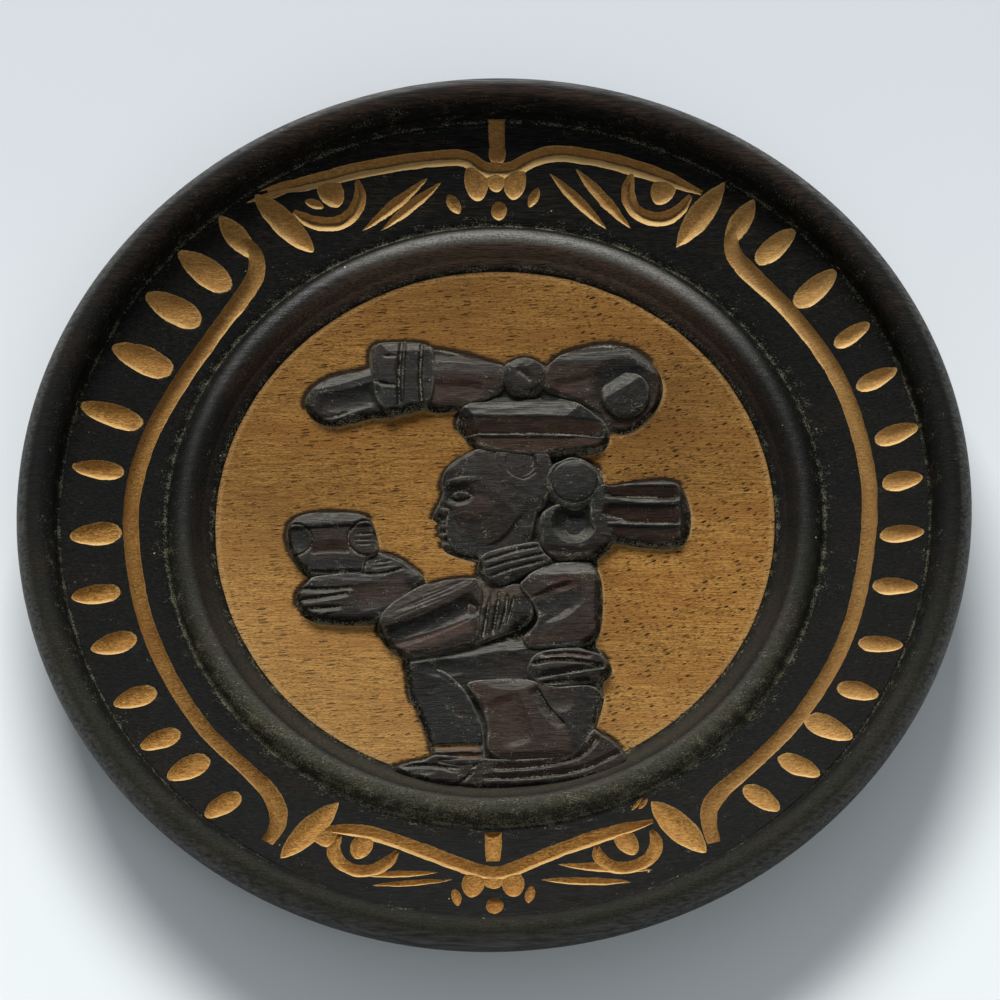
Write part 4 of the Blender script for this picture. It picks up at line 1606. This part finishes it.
def brass_material():
    material, place = new_material("dull_brass")
    cloud = grain(stretched(place, 0.25, 0.25, 0.25), 4.0, 0.6)
    fine = grain(stretched(place, 2.5, 0.6, 2.5, (3, 3, 3)), 3.0)
    spots = grain(stretched(place, 1.2, 1.2, 1.2, (9, 1, 0)), 2.0)
    dulled = mixed(mixed(BRASS, BRIGHT_BRASS, fine), DULL_BRASS, cloud.between(0.45, 0.75) * 0.6)
    colour = mixed(dulled, BRASS_SPOT, spots.between(0.66, 0.76) * 0.5)
    place.node("ShaderNodeBsdfPrincipled", None, {
        "Base Color": colour, "Metallic": 1.0, "Roughness": 0.3 + cloud * 0.2,
        "Normal": raised(fine + cloud, 0.02)}).shown()
    return material


board_piece.data.materials.append(board_material())
ground.data.materials.append(ground_material())
stained_figure = figure_material()
for piece in figure:
    piece.data.materials.append(stained_figure)
brass = brass_material()
print("materials:", ", ".join(sorted(material.name for material in bpy.data.materials)))

# %% [markdown]
# Fitting the pieces to the frame. The carved pieces take the place of the plain plate. The hanger
# keeps the frame's own meshes and only gets its metal.

# %% Pieces and frame
wood_pieces = [board_piece, ground, *figure]
for piece in wood_pieces:
    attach(piece, "plate")
    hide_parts("plate")
for name in ("hanger_strap", "hanger_ring", "hanger_screw_lower", "hanger_screw_upper"):
    for slot in bpy.data.objects[name].material_slots:
        slot.material = brass
print("carved pieces on the plate:", len(wood_pieces))

# %% [markdown]
# The setting. The plate lies on a pale, matt floor under soft studio light: a wide lamp beyond the
# figure's head, which draws the bright edges on the facets, a low and broad one behind it, which
# only the far side of the lip and the bead catch, and a weaker one on the viewer's side. The floor
# is open inside the foot, and a small lamp under it lights the recess, so that the hanger can be
# looked at from below. The camera looks down at the plate with a long lens.

# %% Floor
FLOOR_RINGS = (FOOT_OUTER - 2.0, 400, 3000)
FLOOR_NEAR, FLOOR_FAR = linear(240, 247, 249), linear(196, 202, 208)


def floor_piece():
    bm = bmesh.new()
    rims = [bmesh.ops.create_circle(bm, segments=96, radius=radius)["verts"] for radius in FLOOR_RINGS]
    for inner, outer in zip(rims, rims[1:]):
        edges = each_once(e for v in inner + outer for e in v.link_edges if len(e.link_faces) < 2)
        bmesh.ops.bridge_loops(bm, edges=edges)
    floor = finished("floor", bm)
    material, place = new_material("pale_floor")
    y = place.split()[1]
    surfaced(mixed(FLOOR_FAR, FLOOR_NEAR, y.between(180, -160)), 0.8, raised(y, 0.0))
    floor.data.materials.append(material)


floor_piece()

# %% Background and lamps
SKY, BACKDROP = (0.93, 0.96, 1.0, 1.0), linear(214, 219, 222)
WARM, COOL = (1.0, 0.985, 0.96), (0.95, 0.97, 1.0)


def world_light():
    """The camera sees a pale backdrop, and the plate is lit by a dimmer sky."""
    world = bpy.data.worlds.new("studio")
    bpy.context.scene.world = world
    world.use_nodes = True
    world.node_tree.nodes.clear()
    seen = Wire(world.node_tree).node("ShaderNodeLightPath")
    dim = seen.node("ShaderNodeBackground", None, {"Color": SKY, "Strength": 0.22})
    pale = seen.node("ShaderNodeBackground", None, {"Color": BACKDROP, "Strength": 1.0})
    seen.node("ShaderNodeMixShader", None, {0: seen, 1: dim, 2: pale}).shown("ShaderNodeOutputWorld")


def lamp(name, place, size, power, colour):
    """An area lamp that points at the middle of the plate; places and sizes are in metres."""
    data = bpy.data.lights.new(name, "AREA")
    data.shape = "RECTANGLE"
    data.size, data.size_y = size
    data.energy = power
    data.color = colour
    light = bpy.data.objects.new(name, data)
    light.location = place
    aim = Vector((0, 0, 0)) - Vector(place)
    light.rotation_euler = aim.to_track_quat("-Z", "Y").to_euler()
    bpy.context.scene.collection.objects.link(light)
    print(name, "lamp:", power, "W at", place)


world_light()
lamp("window", (-0.35, 2.2, 1.65), (1.5, 0.7), 104, WARM)
lamp("backdrop", (0.0, 1.7, 0.3), (2.4, 0.5), 10, COOL)
lamp("fill", (0.8, -1.6, 2.2), (1.6, 1.6), 11, COOL)
lamp("recess", (0.9, 0.2, -1.0), (0.6, 0.6), 9, WARM)

# %% Camera
LENS = 216.0
FILM = 36.0
DISTANCE = 1455.4
TILT = math.radians(24.44)
YAW = math.radians(-1.6)
SHIFT_RIGHT = 1.3
SHIFT_UP = 5.3

turn = Matrix.Rotation(TILT, 4, "X") @ Matrix.Rotation(-YAW, 4, "Y")
view = bpy.data.cameras.new("camera")
view.lens = LENS
view.sensor_width = FILM
view.clip_end = 20
camera = bpy.data.objects.new("camera", view)
eye = Vector((0, 0, GROUND_Z)) + turn @ Vector((SHIFT_RIGHT, SHIFT_UP, DISTANCE))
camera.matrix_world = Matrix.Translation(eye * MM) @ turn
bpy.context.scene.collection.objects.link(camera)
bpy.context.scene.camera = camera
bpy.context.scene.view_settings.view_transform = "Standard"
print("camera (mm):", [round(c) for c in eye])
